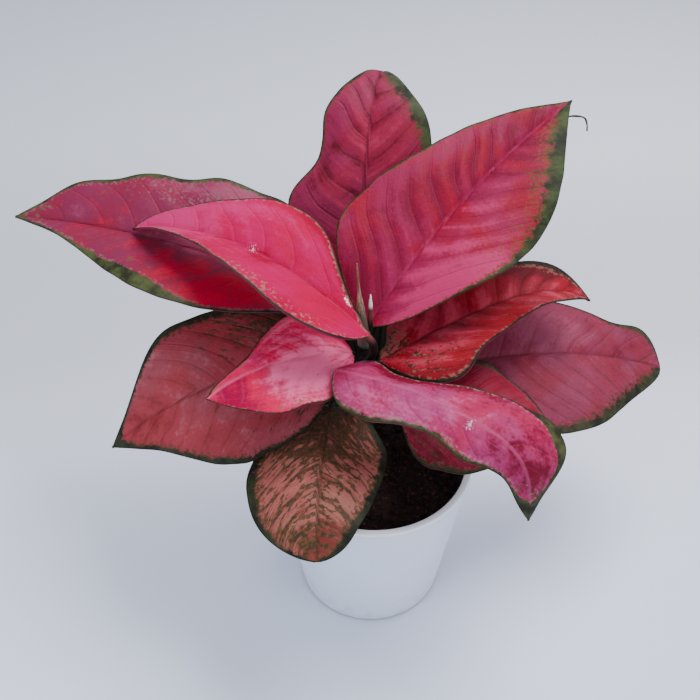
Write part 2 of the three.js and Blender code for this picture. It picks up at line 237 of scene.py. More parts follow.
# %% [markdown]
# ## The floor
# A plain table top, wide enough to fill the view. Its cool white is painted lighter at the
# front left and greyer towards the right and in a broad belt behind the plant, as painted light
# and shade. One flat colour would look like empty air. The drift is cut from the place on the
# floor, so it stays put in every view and the pot's soft shadow has something real to fall on.

# %% Floor
FLOOR_SIDE = 6.0
floor_mesh = bpy.data.meshes.new("floor")
half = FLOOR_SIDE / 2
corners = [(-half, -half, 0), (half, -half, 0), (half, half, 0), (-half, half, 0)]
floor_mesh.from_pydata(corners, [], [(0, 1, 2, 3)])
floor = bpy.data.objects.new("floor", floor_mesh)
bpy.context.collection.objects.link(floor)

boards = Finish("pale_table_top")
spot = boards.place()
clouds = boards.noise(spot, 1.6, 3.0) * 0.3
rightward = (boards.coordinate(spot, 0) + clouds).step(-0.05, 0.5)
away = boards.coordinate(spot, 1) + clouds
# Painted light and shade: lighter at the front left, greyer to the right.
near = boards.mix(rightward, paint(232, 239, 255), paint(206, 211, 232))
far = boards.mix(rightward, paint(214, 217, 228), paint(218, 220, 230))
# Painted shade: a darker belt behind the plant.
painted_shade_belt = away.step(0.22, 0.36) * (1 - away.step(0.45, 0.7))
colour = boards.mix(away.step(0.05, 0.4), near, far)
colour = boards.mix(painted_shade_belt * 0.7, colour, paint(192, 194, 203))
floor_mesh.materials.append(boards.surface(Base_Color=colour, Roughness=0.6))
print("floor side", FLOOR_SIDE, "m")

# %% [markdown]
# ## Meshes from grids
# The leaves, stems, pot and soil are all grids of points: rows along the piece, columns across
# it or around it. Modelling each by hand would be slow and uneven. numpy works the points out
# for a whole grid at once, and these helpers turn grids into meshes with smooth faces and sharp
# rims, and hide the frame's plain node that each piece stands for.


# %% Faces of a grid
def grid_faces(rows, columns, around=False):
    """Quads between neighbouring points of a grid. around closes each row into a ring."""
    last = columns if around else columns - 1
    i, j = np.meshgrid(np.arange(rows - 1), np.arange(last), indexing="ij")
    a = i * columns + j
    b = i * columns + (j + 1) % columns
    return np.stack([a, b, b + columns, a + columns], -1).reshape(-1, 4)


def capped(rows, sides):
    """The faces of a closed bar: rings joined by quads, with a lid on either end."""
    points = list(range(rows * sides))
    return grid_faces(rows, sides, True).tolist() + [points[:sides][::-1], points[-sides:]]


print("faces of a bar with 3 rings of 8 points:", len(capped(3, 8)))


# %% From points to a dressed piece
def soften(mesh, sharp):
    """Smooth shading, but edges that turn by more than sharp degrees stay crisp."""
    mesh.shade_smooth()
    mesh.set_sharp_from_angle(angle=math.radians(sharp))


def make_piece(name, points, faces, material, sharp=40.0):
    """A closed mesh from points in millimetres, as an object in the scene."""
    mesh = bpy.data.meshes.new(name)
    mesh.from_pydata((np.asarray(points) * MM).tolist(), [], [list(f) for f in faces])
    body = bmesh.new()
    body.from_mesh(mesh)
    bmesh.ops.recalc_face_normals(body, faces=body.faces)
    body.to_mesh(mesh)
    body.free()
    soften(mesh, sharp)
    mesh.materials.append(material)
    piece = bpy.data.objects.new(name, mesh)
    bpy.context.collection.objects.link(piece)
    return piece


def dress(piece, node):
    """The piece moves with the plant and stands for a node of the frame, whose plain part it hides.
    """
    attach(piece, "root")
    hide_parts(node)
    print(piece.name, "points", len(piece.data.vertices), "for", node)


print("nodes that are still plain:", len(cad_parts))

# %% [markdown]
# ## The nursery pot
# The pot is thin moulded plastic: a plain taper, a rolled lip about 8 mm deep, and six drain
# holes underneath. A lathe is the right tool, because the pot is round: one profile, with
# every corner eased by a small arc, is turned about the middle. The drain holes are drilled
# afterwards with a Boolean. White plastic in use isn't one flat white, and dust settles low
# down. Painted contact shade darkens the foot and a painted highlight whitens the top of the
# lip. A picture could be wrapped round it, but height and noise place these marks with no seam.

# %% Pot profile
POT = dict(height=100, base=41.4, rim=54, lip=8, step=1.6, lip_width=3.8, wall=2.2, floor=2.8)
POT_SIDES = 144
EASE_STEPS = 5


def unit(vectors):
    return vectors / np.linalg.norm(vectors, axis=-1, keepdims=True)


def eased(corners):
    """The profile with each corner (radius, height, ease) turned into a short arc."""
    points = [corners[0][:2]]
    for before, here, after in zip(corners, corners[1:], corners[2:]):
        p = np.array(here[:2], float)
        back = unit(np.array(before[:2], float) - p) * here[2]
        on = unit(np.array(after[:2], float) - p) * here[2]
        for k in range(EASE_STEPS + 1):
            t = k / EASE_STEPS
            points.append(tuple(p + (1 - t) ** 2 * back + t**2 * on))
    points.append(corners[-1][:2])
    return np.array(points)


def pot_outside(z):
    """The radius of the tapered wall at a height."""
    slope = (POT["rim"] - POT["step"] - POT["base"]) / (POT["height"] - POT["lip"])
    return POT["base"] + slope * z


def pot_profile():
    """Up the outside, over the lip and down the inside."""
    p = POT
    lip_foot = p["height"] - p["lip"]
    return eased(
        [
            (0, 0, 0),
            (p["base"], 0, 1.4),
            (p["rim"] - p["step"], lip_foot, 0.5),
            (p["rim"], lip_foot + 0.8, 0.7),
            (p["rim"], p["height"], 1.4),
            (p["rim"] - p["lip_width"], p["height"], 1.2),
            (pot_outside(lip_foot) - p["wall"], lip_foot, 1.0),
            (pot_outside(p["floor"]) - p["wall"], p["floor"], 1.6),
            (0, p["floor"], 0),
        ]
    )


profile = pot_profile()
print("pot profile points:", len(profile), "widest", profile[:, 0].max())


# %% Pot finish
def white_plastic():
    """Cool white moulded plastic, dusty low down and faintly scuffed. Painted contact shade
    darkens the foot and a painted highlight whitens the top of the lip.
    """
    f = Finish("white_pot_plastic")
    where = f.place()
    height = f.coordinate(where, 2)
    cloud = f.noise(where, 30.0, 4.0)
    dust = (1 - height.step(0.0, 0.03)) * f.noise(where, 160.0, 5.0).step(0.42, 0.7)
    # Painted contact shade: a dark line round the foot, where the pot stands on the floor.
    foot = 1 - height.step(0.0006, 0.0026)
    # Painted highlight: the top of the lip is whitened.
    painted_lip_highlight = height.step((POT["height"] - 1.6) * MM, (POT["height"] - 0.6) * MM)
    colour = f.mix(cloud, paint(210, 216, 232), paint(220, 225, 238))
    colour = f.mix(dust * 0.35, colour, paint(172, 170, 168))
    colour = f.mix(foot * 0.8, colour, paint(92, 96, 106))
    colour = f.mix(painted_lip_highlight, colour, paint(248, 250, 255))
    scuff = f.noise(f.vector(height * 40.0, height, cloud), 8.0, 3.0)
    grain = f.noise(where, 2600.0, 2.0)
    return f.surface(
        Base_Color=colour,
        Roughness=0.34 + cloud * 0.12 + dust * 0.3 + scuff * 0.04,
        Normal=f.bump(grain + cloud * 2.0, 0.00006),
        Specular_IOR_Level=0.45,
    )


pot_plastic = white_plastic()
print("finish:", pot_plastic.name)

# %% Turn the pot and drill it
DRAIN = dict(count=6, radius=4.0, ring=26.0, depth=8.0, sides=40)
POT_SHARP = 50.0


def turned(profile, sides):
    """Points and faces of a profile turned about Z. Its first and last points are on the axis."""
    ring = profile[1:-1]
    turn = np.linspace(0, 2 * np.pi, sides, endpoint=False)
    x = ring[:, :1] * np.cos(turn)
    y = ring[:, :1] * np.sin(turn)
    z = np.repeat(ring[:, 1:], sides, 1)
    return np.stack([x, y, z], -1).reshape(-1, 3), capped(len(ring), sides)


def drills():
    """Short bars where the drain holes go."""
    bars = bmesh.new()
    radius = DRAIN["radius"] * MM
    size = dict(radius1=radius, radius2=radius, depth=2 * DRAIN["depth"] * MM)
    for k in range(DRAIN["count"]):
        turn = 2 * math.pi * k / DRAIN["count"]
        bar = bmesh.ops.create_cone(bars, cap_ends=True, segments=DRAIN["sides"], **size)
        shift = Vector((math.cos(turn), math.sin(turn), 0)) * DRAIN["ring"] * MM
        bmesh.ops.translate(bars, verts=bar["verts"], vec=shift)
    mesh = bpy.data.meshes.new("drills")
    bars.to_mesh(mesh)
    bars.free()
    tool = bpy.data.objects.new("drills", mesh)
    bpy.context.collection.objects.link(tool)
    return tool


def settle(piece):
    """Makes what the piece's modifiers do a part of its mesh."""
    seen = piece.evaluated_get(bpy.context.evaluated_depsgraph_get())
    mesh = bpy.data.meshes.new_from_object(seen)
    piece.modifiers.clear()
    piece.data = mesh


def carve(piece, tool):
    """Takes the tool's shape out of the piece, and throws the tool away."""
    change = piece.modifiers.new("cut", "BOOLEAN")
    change.object = tool
    change.operation = "DIFFERENCE"
    change.solver = "EXACT"
    settle(piece)
    bpy.data.objects.remove(tool)


pot = make_piece("nursery_pot", *turned(profile, POT_SIDES), pot_plastic, POT_SHARP)
carve(pot, drills())
soften(pot.data, POT_SHARP)
dress(pot, "pot")

# %% [markdown]
# ## The potting soil
# Potting mix is dark, moist and crumbly. A flat disc with bump would look like paper, so its
# top is a fine grid that is lifted by several sizes of noise, and loose crumbs are scattered
# over it. All the draws are seeded, so the soil is the same each time. One noise gives the dark
# browns and a finer one the paler dry grains, as one even brown would look like clay.

# %% Smooth random numbers over a plane
SEED = 20
LATTICE = 64
LATTICE_SHIFT = 200.0


def value_noise(x, y, size, seed):
    """Random heights on a square lattice of a given size, joined smoothly."""
    lattice = np.random.default_rng(seed).random((LATTICE, LATTICE)) * 2 - 1
    u, v = x / size + LATTICE_SHIFT, y / size + LATTICE_SHIFT
    i, j = np.floor(u).astype(int), np.floor(v).astype(int)
    s, t = u - i, v - j
    s, t = s * s * (3 - 2 * s), t * t * (3 - 2 * t)

    def at(a, b):
        return lattice[a % LATTICE, b % LATTICE]

    low = at(i, j) * (1 - s) + at(i + 1, j) * s
    high = at(i, j + 1) * (1 - s) + at(i + 1, j + 1) * s
    return low * (1 - t) + high * t


sample = value_noise(np.linspace(-50, 50, 200), np.zeros(200), 7.0, SEED)
print("noise runs from", round(float(sample.min()), 2), "to", round(float(sample.max()), 2))


# %% Soil finish
def dark_soil():
    """Moist, almost black brown, with paler dry grains here and there."""
    f = Finish("dark_potting_soil")
    where = f.place()
    clod = f.noise(where, 220.0, 6.0, 0.7)
    grain = f.cells(where, 900.0)
    speck = f.noise(where, 520.0, 3.0).step(0.6, 0.7)
    colour = f.mix(clod.step(0.35, 0.7), paint(16, 7, 7), paint(50, 26, 22))
    colour = f.mix(speck * 0.6, colour, paint(104, 66, 56))
    return f.surface(
        Base_Color=colour,
        Roughness=0.78 + clod * 0.2,
        Normal=f.bump(clod + grain * 0.4, 0.0006),
        Specular_IOR_Level=0.25,
    )


soil_finish = dark_soil()
print("finish:", soil_finish.name)

# %% Soil body
SOIL = dict(level=91, foot=3.1, lump=1.4, rings=84, sides=200, collar=1.5, collar_width=12)
SOIL.update(ease=2, brim=4, gap=0.4)
CANE_FOOT = np.array([-4.0, 11.0, 57.6])
CANE_HEAD = np.array([-5.0, 14.0, 166.0])


def soil_height(x, y):
    """Lumps of several sizes, heaped a little round the cane."""
    broad = 0.6 * np.sin(0.19 * x + 1.3) * np.cos(0.23 * y - 0.4)
    broad += 0.4 * np.sin(0.47 * x + 0.5) * np.cos(0.39 * y + 0.9)
    fine = 0.7 * value_noise(x, y, 5.0, SEED) + 0.45 * value_noise(x, y, 2.2, SEED + 1)
    fine += 0.25 * value_noise(x, y, 1.1, SEED + 2)
    away = np.hypot(x - CANE_FOOT[0], y - CANE_FOOT[1])
    collar = SOIL["collar"] * np.exp(-((away / SOIL["collar_width"]) ** 2))
    return SOIL["level"] + SOIL["lump"] * broad + fine + collar


def soil_limit(z):
    """The soil's radius at a height: just inside the pot's wall."""
    return pot_outside(z) - POT["wall"] - SOIL["gap"]


def soil_body():
    """Two rings round the foot, one at the brim, and then rings that close in over the top."""
    turn = np.linspace(0, 2 * np.pi, SOIL["sides"], endpoint=False)
    foot, ease, brim = SOIL["foot"], SOIL["ease"], SOIL["level"] - SOIL["brim"]
    rows = []
    for z, inset in ((foot, ease), (foot + ease, 0.0), (brim, 0.0)):
        r = soil_limit(z) - inset
        rows.append(np.stack([r * np.cos(turn), r * np.sin(turn), np.full_like(turn, z)], -1))
    for k in range(SOIL["rings"], 0, -1):
        r = soil_limit(brim) * k / SOIL["rings"]
        x, y = r * np.cos(turn), r * np.sin(turn)
        rows.append(np.stack([x, y, soil_height(x, y)], -1))
    return np.concatenate(rows), capped(len(rows), SOIL["sides"])


soil = make_piece("potting_soil", *soil_body(), soil_finish, sharp=80.0)
print("soil points:", len(soil.data.vertices))

# %% Loose crumbs
CRUMBS = dict(count=620, spread=47.0, small=0.5, large=1.7, lift=0.15)


def crumbs():
    """Small misshapen grains, half sunk in the soil, in one mesh."""
    draw = np.random.default_rng(SEED)
    heap = bmesh.new()
    for _ in range(CRUMBS["count"]):
        r = CRUMBS["spread"] * math.sqrt(draw.random())
        turn = 2 * math.pi * draw.random()
        x, y = r * math.cos(turn), r * math.sin(turn)
        size = CRUMBS["small"] + (CRUMBS["large"] - CRUMBS["small"]) * draw.random() ** 2.5
        stretch = 0.6 + 0.9 * draw.random(3)
        bumps = 0.75 + 0.5 * draw.random(12)
        grain = bmesh.ops.create_icosphere(heap, subdivisions=1, radius=1.0)["verts"]
        z = float(soil_height(np.array(x), np.array(y))) + CRUMBS["lift"] * size
        for vert, bump in zip(grain, bumps):
            shape = np.array(vert.co) * stretch * bump * size
            vert.co = Vector((shape + [x, y, z]) * MM)
    mesh = bpy.data.meshes.new("crumbs")
    heap.to_mesh(mesh)
    heap.free()
    return mesh


def merge(piece, mesh):
    """Adds a mesh's points and faces to a piece."""
    body = bmesh.new()
    body.from_mesh(piece.data)
    body.from_mesh(mesh)
    for face in body.faces:
        face.smooth = True
    body.to_mesh(piece.data)
    body.free()
    bpy.data.meshes.remove(mesh)


merge(soil, crumbs())
dress(soil, "soil")

# %% [markdown]
# ## The leaves' shapes
# Each leaf is a blade: a midrib that runs from the petiole to the tip, and a half on either
# side of it. The table says where each midrib starts, where it heads and how it rises, how
# wide each half is along the way, and how the halves fold, curl and wave. The left half is on
# the left as the leaf points away from the cane, and foot is the height where its petiole
# leaves the cane. Drawing eleven leaves freehand would lose this control, and a flat picture of
# a leaf would have no thickness, so the blades are computed. The same numbers made the frame's
# plain blades, so the fine ones lie where those do.
#
# Angles are degrees. Heading, rise and roll run along the midrib from the petiole to the tip,
# and roll turns the blade about it. Fold, curl, edge and wave hold the left half first. Fold
# lifts a half off the midrib, or drops it where negative, and a negative curl bends it down
# towards its margin. Edge scales the half's plain outline at even steps from petiole to tip. A
# wave is its height, how many there are and where in a wave the first one starts. Lobe is the
# share of the midrib by which the base reaches back past the petiole.


# %% The table of leaves
def grown(**own):
    """A leaf's own measures, over those that most of the leaves share."""
    shared = dict(widest=0.42, blunt=1, roll=[0, 0], curl=[-20, -20], lobe=0)
    shared["wave"] = [[1.5, 2.5, 0.1], [1.5, 2.5, 0.6]]
    return {**shared, **own}


LEAVES = dict(
    leaf_back=grown(
        base=[-8, 53, 159], foot=128, length=156, width=79, heading=[88, 84, 80, 76],
        rise=[60, 52, 38, -50], fold=[14, 6], widest=0.36, blunt=0.8,
        wave=[[2, 1.6, 0.1], [2, 1.6, 0.3]],
        edge=[[0.3, 0.6, 1, 0.66, 0.74, 0.46, 0.5], [0.8, 0.85, 0.9, 0.94, 0.95, 0.63, 0.45]],
    ),
    leaf_upper_right=grown(
        base=[-3, 20, 173], foot=150, length=172, width=88, heading=[50, 45, 40], rise=[35, 22, 13],
        roll=[15, 15], fold=[24, 18], widest=0.38,
        edge=[[0.8, 1.1, 0.95, 0.8, 0.8, 0.72, 0.6], [0.6, 0.74, 0.96, 1.09, 1.12, 1.04, 0.85]],
    ),
    leaf_upper_left=grown(
        base=[-4, 4, 180], foot=145, length=151, width=63, heading=[150, 150], rise=[38, 5, -26],
        fold=[26, 26], curl=[-18, -18],
        edge=[[1.6, 1.3, 0.96, 0.74, 0.42, 0.5, 0.6], [0.25, 0.5, 0.97, 1.1, 0.86, 1, 1.6]],
    ),
    leaf_far_left=grown(
        base=[-21, 47, 166], foot=134, length=184, width=84, heading=[165, 166], rise=[20, 8, -6],
        roll=[-15, -15], fold=[22, 22], wave=[[1.5, 2.5, 0.1], [2, 4.8, 0.2]],
        edge=[[0.9, 0.87, 0.95, 0.97, 0.8, 0.6, 0.6], [0.8, 1.13, 1.1, 1, 1.02, 1.18, 1.2]],
    ),
    leaf_lower_left=grown(
        base=[-16, 22, 152], foot=112, length=131, width=80, heading=[192, 196, 200],
        rise=[2, -14, -38], roll=[-25, -25], fold=[12, 12],
        edge=[[1.2, 1.15, 1.08, 1.14, 1.08, 0.9, 0.85], [1.3, 1.1, 0.98, 1.03, 1.11, 0.87, 0.5]],
    ),
    leaf_small_left=grown(
        base=[-11, 12, 160.2], foot=132, length=80, width=55, heading=[200, 209, 218],
        rise=[22, 7, -18], roll=[-12, -12], fold=[6, 6], curl=[-12, -12],
        edge=[[1.1, 1.05, 1.05, 1.05, 1.2, 1.5, 2], [1.5, 1.15, 1, 0.72, 0.36, 0.35, 0.5]],
    ),
    leaf_front=grown(
        base=[-22, 4, 130], foot=100, length=88, width=68, heading=[264, 266, 272],
        rise=[8, -6, -30], roll=[4, 4], fold=[6, 6], blunt=0.6,
        edge=[[0.8, 0.85, 0.92, 0.9, 0.84, 0.85, 1], [1, 1, 1, 1.1, 1.15, 1.25, 1.3]],
    ),
    leaf_arching_right=grown(
        base=[-19, -6.6, 166.3], foot=125, length=139, width=62,
        heading=[330, 330, 331, 329, 324, 316], rise=[18, 8, -7, -20, -70, -88],
        roll=[0, 2, 6, 18, 34, 40], fold=[-14, -8], curl=[-14, -14], lobe=0.08,
        edge=[
            [2.6, 1.25, 0.55, 0.4, 0.47, 0.6, 0.73, 0.86, 1.02, 1.36, 1.58, 0.85, 0.75],
            [1.6, 1.07, 0.86, 0.6, 0.49, 0.63, 0.58, 0.54, 0.66, 0.9],
        ],
    ),
    leaf_middle_right=grown(
        base=[3, 13, 155], foot=118, length=134, width=60, heading=[28, 28, 24, 8],
        rise=[14, 8, -3, -36], fold=[20, 20],
        edge=[[1, 1, 1, 1, 1.05, 1.45, 2.2], [2.4, 1.8, 0.98, 0.72, 0.7, 0.7, 0.8]],
    ),
    leaf_far_right=grown(
        base=[21, 34, 125], foot=104, length=158, width=93, heading=[14, 12, 7], rise=[8, -8, -26],
        roll=[22, 22], fold=[12, 12], widest=0.5, blunt=0.55,
        edge=[[0.9, 0.9, 0.8, 0.75, 0.72, 0.66, 1.3], [1, 1, 1.05, 1.05, 1, 0.78, 0.6]],
    ),
    leaf_lower_right=grown(
        base=[13, 2, 138], foot=108, length=84, width=67, heading=[348, 350], rise=[6, -8, -30],
        roll=[12, 12], fold=[5, 5],
        edge=[[1, 1, 1, 1, 1, 1, 1], [1.3, 1.3, 1.1, 1.02, 0.96, 0.94, 1]],
    ),
)
print("leaves:", len(LEAVES), "longest", max(leaf["length"] for leaf in LEAVES.values()), "mm")

# %% [markdown]
# ## A blade from its numbers
# The midrib is walked in short steps, each along its own heading and rise. At every step the
# blade reaches out to both sides. Three things then make it a leaf of this plant and not a
# paper cut-out: the skin is puffed up between the side veins, the midrib lies in a groove above
# and stands out as a rib below, and the whole blade undulates a little.


# %% A smooth curve through a few values
def along(values, share):
    """The curve through evenly spaced values, read at shares from 0 to 1."""
    values = np.asarray(values, float)
    last = len(values) - 1
    at = np.clip(np.asarray(share, float) * last, 0, last - 1e-9)
    i = np.floor(at).astype(int)
    t = at - i
    ends = np.concatenate([[2 * values[0] - values[1]], values, [2 * values[-1] - values[-2]]])
    a, b, c, d = ends[i], ends[i + 1], ends[i + 2], ends[i + 3]
    return b + 0.5 * t * (c - a + t * (2 * a - 5 * b + 4 * c - d + t * (3 * (b - c) + d - a)))


print("a curve through 0, 1, 0 at its middle:", float(along([0, 1, 0], 0.5)))

# %% Midrib
ROWS = 132
HALF_COLUMNS = 22


def midrib(leaf):
    """Points down the middle of the blade, with its across and up directions at each."""
    s = np.linspace(0, 1, ROWS + 1)
    a, e, r = (np.radians(along(leaf[key], s)) for key in ("heading", "rise", "roll"))
    ahead = np.stack([np.cos(e) * np.cos(a), np.cos(e) * np.sin(a), np.sin(e)], -1)
    steps = (ahead[1:] + ahead[:-1]) / 2 * leaf["length"] / ROWS
    points = np.vstack([[0, 0, 0], np.cumsum(steps, 0)]) + leaf["base"]
    level = np.stack([-np.sin(a), np.cos(a), 0 * a], -1)
    above = np.cross(ahead, level)
    turn, lean = np.cos(r)[:, None], np.sin(r)[:, None]
    return s, points, level * turn + above * lean, above * turn - level * lean


s, points, _, _ = midrib(LEAVES["leaf_upper_right"])
print("upper right leaf's tip at", points[-1].round(1))

# %% Half widths
BLADE = dict(thin=0.55, thick=0.8, stem=2.0, stem_thick=2.6, tip=0.5)
BLADE.update(rib=1.3, rib_tip=0.5, rib_width=1.9, uneven=0.35, uneven_size=9.0)


def outline(s, widest, blunt):
    """The half width's share: it rises from the petiole and falls to the tip."""
    s = np.clip(s, 1e-3, 1 - 1e-3)
    rise = blunt * widest / (1 - widest)
    peak = rise / (rise + blunt)
    return s**rise * (1 - s) ** blunt / (peak**rise * (1 - peak) ** blunt)


def half_width(leaf, side, s):
    """How far one side reaches at s, with the small unevenness of a grown margin."""
    shape = leaf["width"] / 2 * outline(s, leaf["widest"], leaf["blunt"])
    shape = shape * along(leaf["edge"][side], s)
    line = np.full_like(s, 40.0 * side)
    uneven = value_noise(s * leaf["length"], line, BLADE["uneven_size"], SEED + side)
    least = BLADE["stem"] + (BLADE["tip"] - BLADE["stem"]) * s
    return np.maximum(shape + BLADE["uneven"] * uneven * np.sin(np.pi * s), least)


print("widest half:", round(float(half_width(LEAVES["leaf_far_right"], 1, s).max()), 1), "mm")

# %% Side veins and relief
VEIN = dict(slant=0.75, bend=0.35, wander=0.3, wander_size=26.0)
GROOVE = dict(depth=0.7, width=1.5)
SWAY = dict(height=0.7, size=22.0)
PATCH_SIZE = 9.0


def vein_number(leaf, own, s, u, reach, side):
    """Counts the side veins: a whole number on each one. They slant forward to the margin."""
    forward = VEIN["slant"] * u * reach * (1 + VEIN["bend"] * u) / leaf["length"]
    drift = value_noise(s * leaf["length"], u * 40 + 90 * side, VEIN["wander_size"], SEED + 5)
    return own["veins"] * (s - forward) + 0.5 * side + VEIN["wander"] * drift


def relief(own, s, u, reach, vein, side):
    """How far the skin stands above the folded sheet, in millimetres."""
    ends = np.sin(np.pi * s) ** 0.6
    pillow = np.abs(np.sin(np.pi * vein)) - 0.6
    patchy = 0.75 + 0.5 * value_noise(vein * 7, u * 30 + 50 * side, PATCH_SIZE, SEED + 11)
    puff = own["quilt"][side] * pillow * patchy * np.sin(np.pi * u**0.85) * ends
    drift = value_noise(s * 90, u * 40 + 60 * side, SWAY["size"], SEED + 7)
    sway = SWAY["height"] * drift * u * ends
    groove = GROOVE["depth"] * np.exp(-((u * reach / GROOVE["width"]) ** 2)) * ends
    return puff + sway - groove


print("side veins slant forward by", round(math.degrees(math.atan(VEIN["slant"]))), "degrees")


# %% Blade sheet
def half_sheet(leaf, own, side, s, spine, across, up):
    """One half of the blade's middle layer as a grid, and the numbers that it carries."""
    out = 1.0 if side == 0 else -1.0
    s = s[:, None]
    u = np.linspace(0, 1, HALF_COLUMNS + 1)[None, :] + 0 * s
    reach = half_width(leaf, side, s)
    vein = vein_number(leaf, own, s, u, reach, side)
    turn = np.radians(leaf["fold"][side] + leaf["curl"][side] * u / 2)
    height, count, start = leaf["wave"][side]
    calm = np.sqrt(np.sin(np.pi * s))
    wave = height * u**2 * calm * np.sin(2 * np.pi * (count * s + start))
    lift = u * reach * np.sin(turn) + wave + relief(own, s, u, reach, vein, side)
    sideways = out * u * reach * np.cos(turn)
    grid = spine[:, None] + across[:, None] * sideways[..., None] + up[:, None] * lift[..., None]
    numbers = dict(s=s + 0 * u, u=out * u, out=u * reach, rim=(1 - u) * reach, vein=vein)
    return grid, numbers


def sheet(leaf, own):
    """The whole middle layer, from the right margin over the midrib to the left margin."""
    s, spine, across, up = midrib(leaf)
    right, right_numbers = half_sheet(leaf, own, 1, s, spine, across, up)
    left, left_numbers = half_sheet(leaf, own, 0, s, spine, across, up)
    grid = np.concatenate([right[:, :0:-1], left], 1)
    pairs = {k: (right_numbers[k][:, :0:-1], left_numbers[k]) for k in left_numbers}
    return grid, {k: np.concatenate(pair, 1) for k, pair in pairs.items()}


print("blade grid:", ROWS + 1, "by", 2 * HALF_COLUMNS + 1)


# %% Two skins make a blade
def margin_faces(rows, columns):
    """The narrow strip that joins the two skins all round."""
    right = np.arange(rows - 1) * columns
    left = right + columns - 1
    foot = np.arange(columns - 1)
    tip = foot + (rows - 1) * columns
    down = rows * columns
    strips = [
        [right + columns, right, right + down, right + columns + down],
        [left, left + columns, left + columns + down, left + down],
        [foot, foot + 1, foot + 1 + down, foot + down],
        [tip + 1, tip, tip + down, tip + 1 + down],
    ]
    return np.concatenate([np.stack(strip, -1) for strip in strips])


def blade(leaf, own):
    """Points, faces and carried numbers of a closed blade: top skin, under skin, margin."""
    grid, numbers = sheet(leaf, own)
    rows, columns = grid.shape[:2]
    normal = unit(np.cross(np.gradient(grid, axis=0), np.gradient(grid, axis=1)))
    s, u, out = numbers["s"], np.abs(numbers["u"]), numbers["out"]
    body = BLADE["thick"] + (BLADE["thin"] - BLADE["thick"]) * u
    stem = (BLADE["stem_thick"] - BLADE["thick"]) * (1 - s) ** 6
    rib = BLADE["rib"] * (1 - s) + BLADE["rib_tip"]
    rib = rib * np.exp(-((out / BLADE["rib_width"]) ** 2))
    top = grid + normal * ((body + stem) / 2)[..., None]
    under = grid - normal * ((body + stem) / 2 + rib)[..., None]
    points = np.concatenate([top.reshape(-1, 3), under.reshape(-1, 3)])
    skin = grid_faces(rows, columns)[:, ::-1]
    faces = [skin, skin + rows * columns, margin_faces(rows, columns)]
    carried = {key: np.concatenate([v.ravel(), v.ravel()]) for key, v in numbers.items()}
    carried["under"] = np.repeat([0.0, 1.0], rows * columns)
    return points, np.concatenate(faces), carried


print("quads in a blade:", 4 * ROWS * HALF_COLUMNS + 2 * ROWS + 4 * HALF_COLUMNS)

# %% [markdown]
# ## The leaves' colours
# Each leaf is pink or red in the middle and green round the margin, and no two are alike. The
# younger ones are hot pink with hardly any green, and the oldest one is salmon with an olive
# net. So every leaf has a short list of colours, the width of its green band along its left
# and right sides, and a few soft marks of each kind: where one lies along the
# leaf (0 to 1) and across it (left is positive, right is negative), how long and wide it is,
# and how strong. A painted picture would tie the leaf to one view and one size.
#
# The other numbers say how many side veins a half has, how deeply each half is quilted between
# them in millimetres, how strongly the veins' own colour shows (veining) and how much the wax
# reflects (sheen). Light and deep tones follow the streaks, patches, speckle and puffs, each as
# strongly as its number, and the puffs between the side veins are painted lighter and the
# valleys along the veins darker, as painted light and shade. Run is 0 for streaks that follow
# the side veins and 1 for streaks that run lengthways. Light and deep marks are partly the
# leaf's own paler and deeper tones and partly painted light and shade, where a neighbouring
# leaf casts its shadow or a margin catches a sheen, and glint marks are painted highlights.

# %% The table of looks
KINDS = ("light", "deep", "mottle", "fray", "green", "glint")


def look(**own):
    """A leaf's own colours, bands and marks, over what most of the leaves share."""
    shared = dict(veins=9, quilt=[0.5, 0.5], veining=0.15, streak=0.7, run=0, patchy=0.7)
    shared.update(speckle=0.4, puff=0.15, sheen=0.12, slot="red_leaf")
    return {**shared, **own}


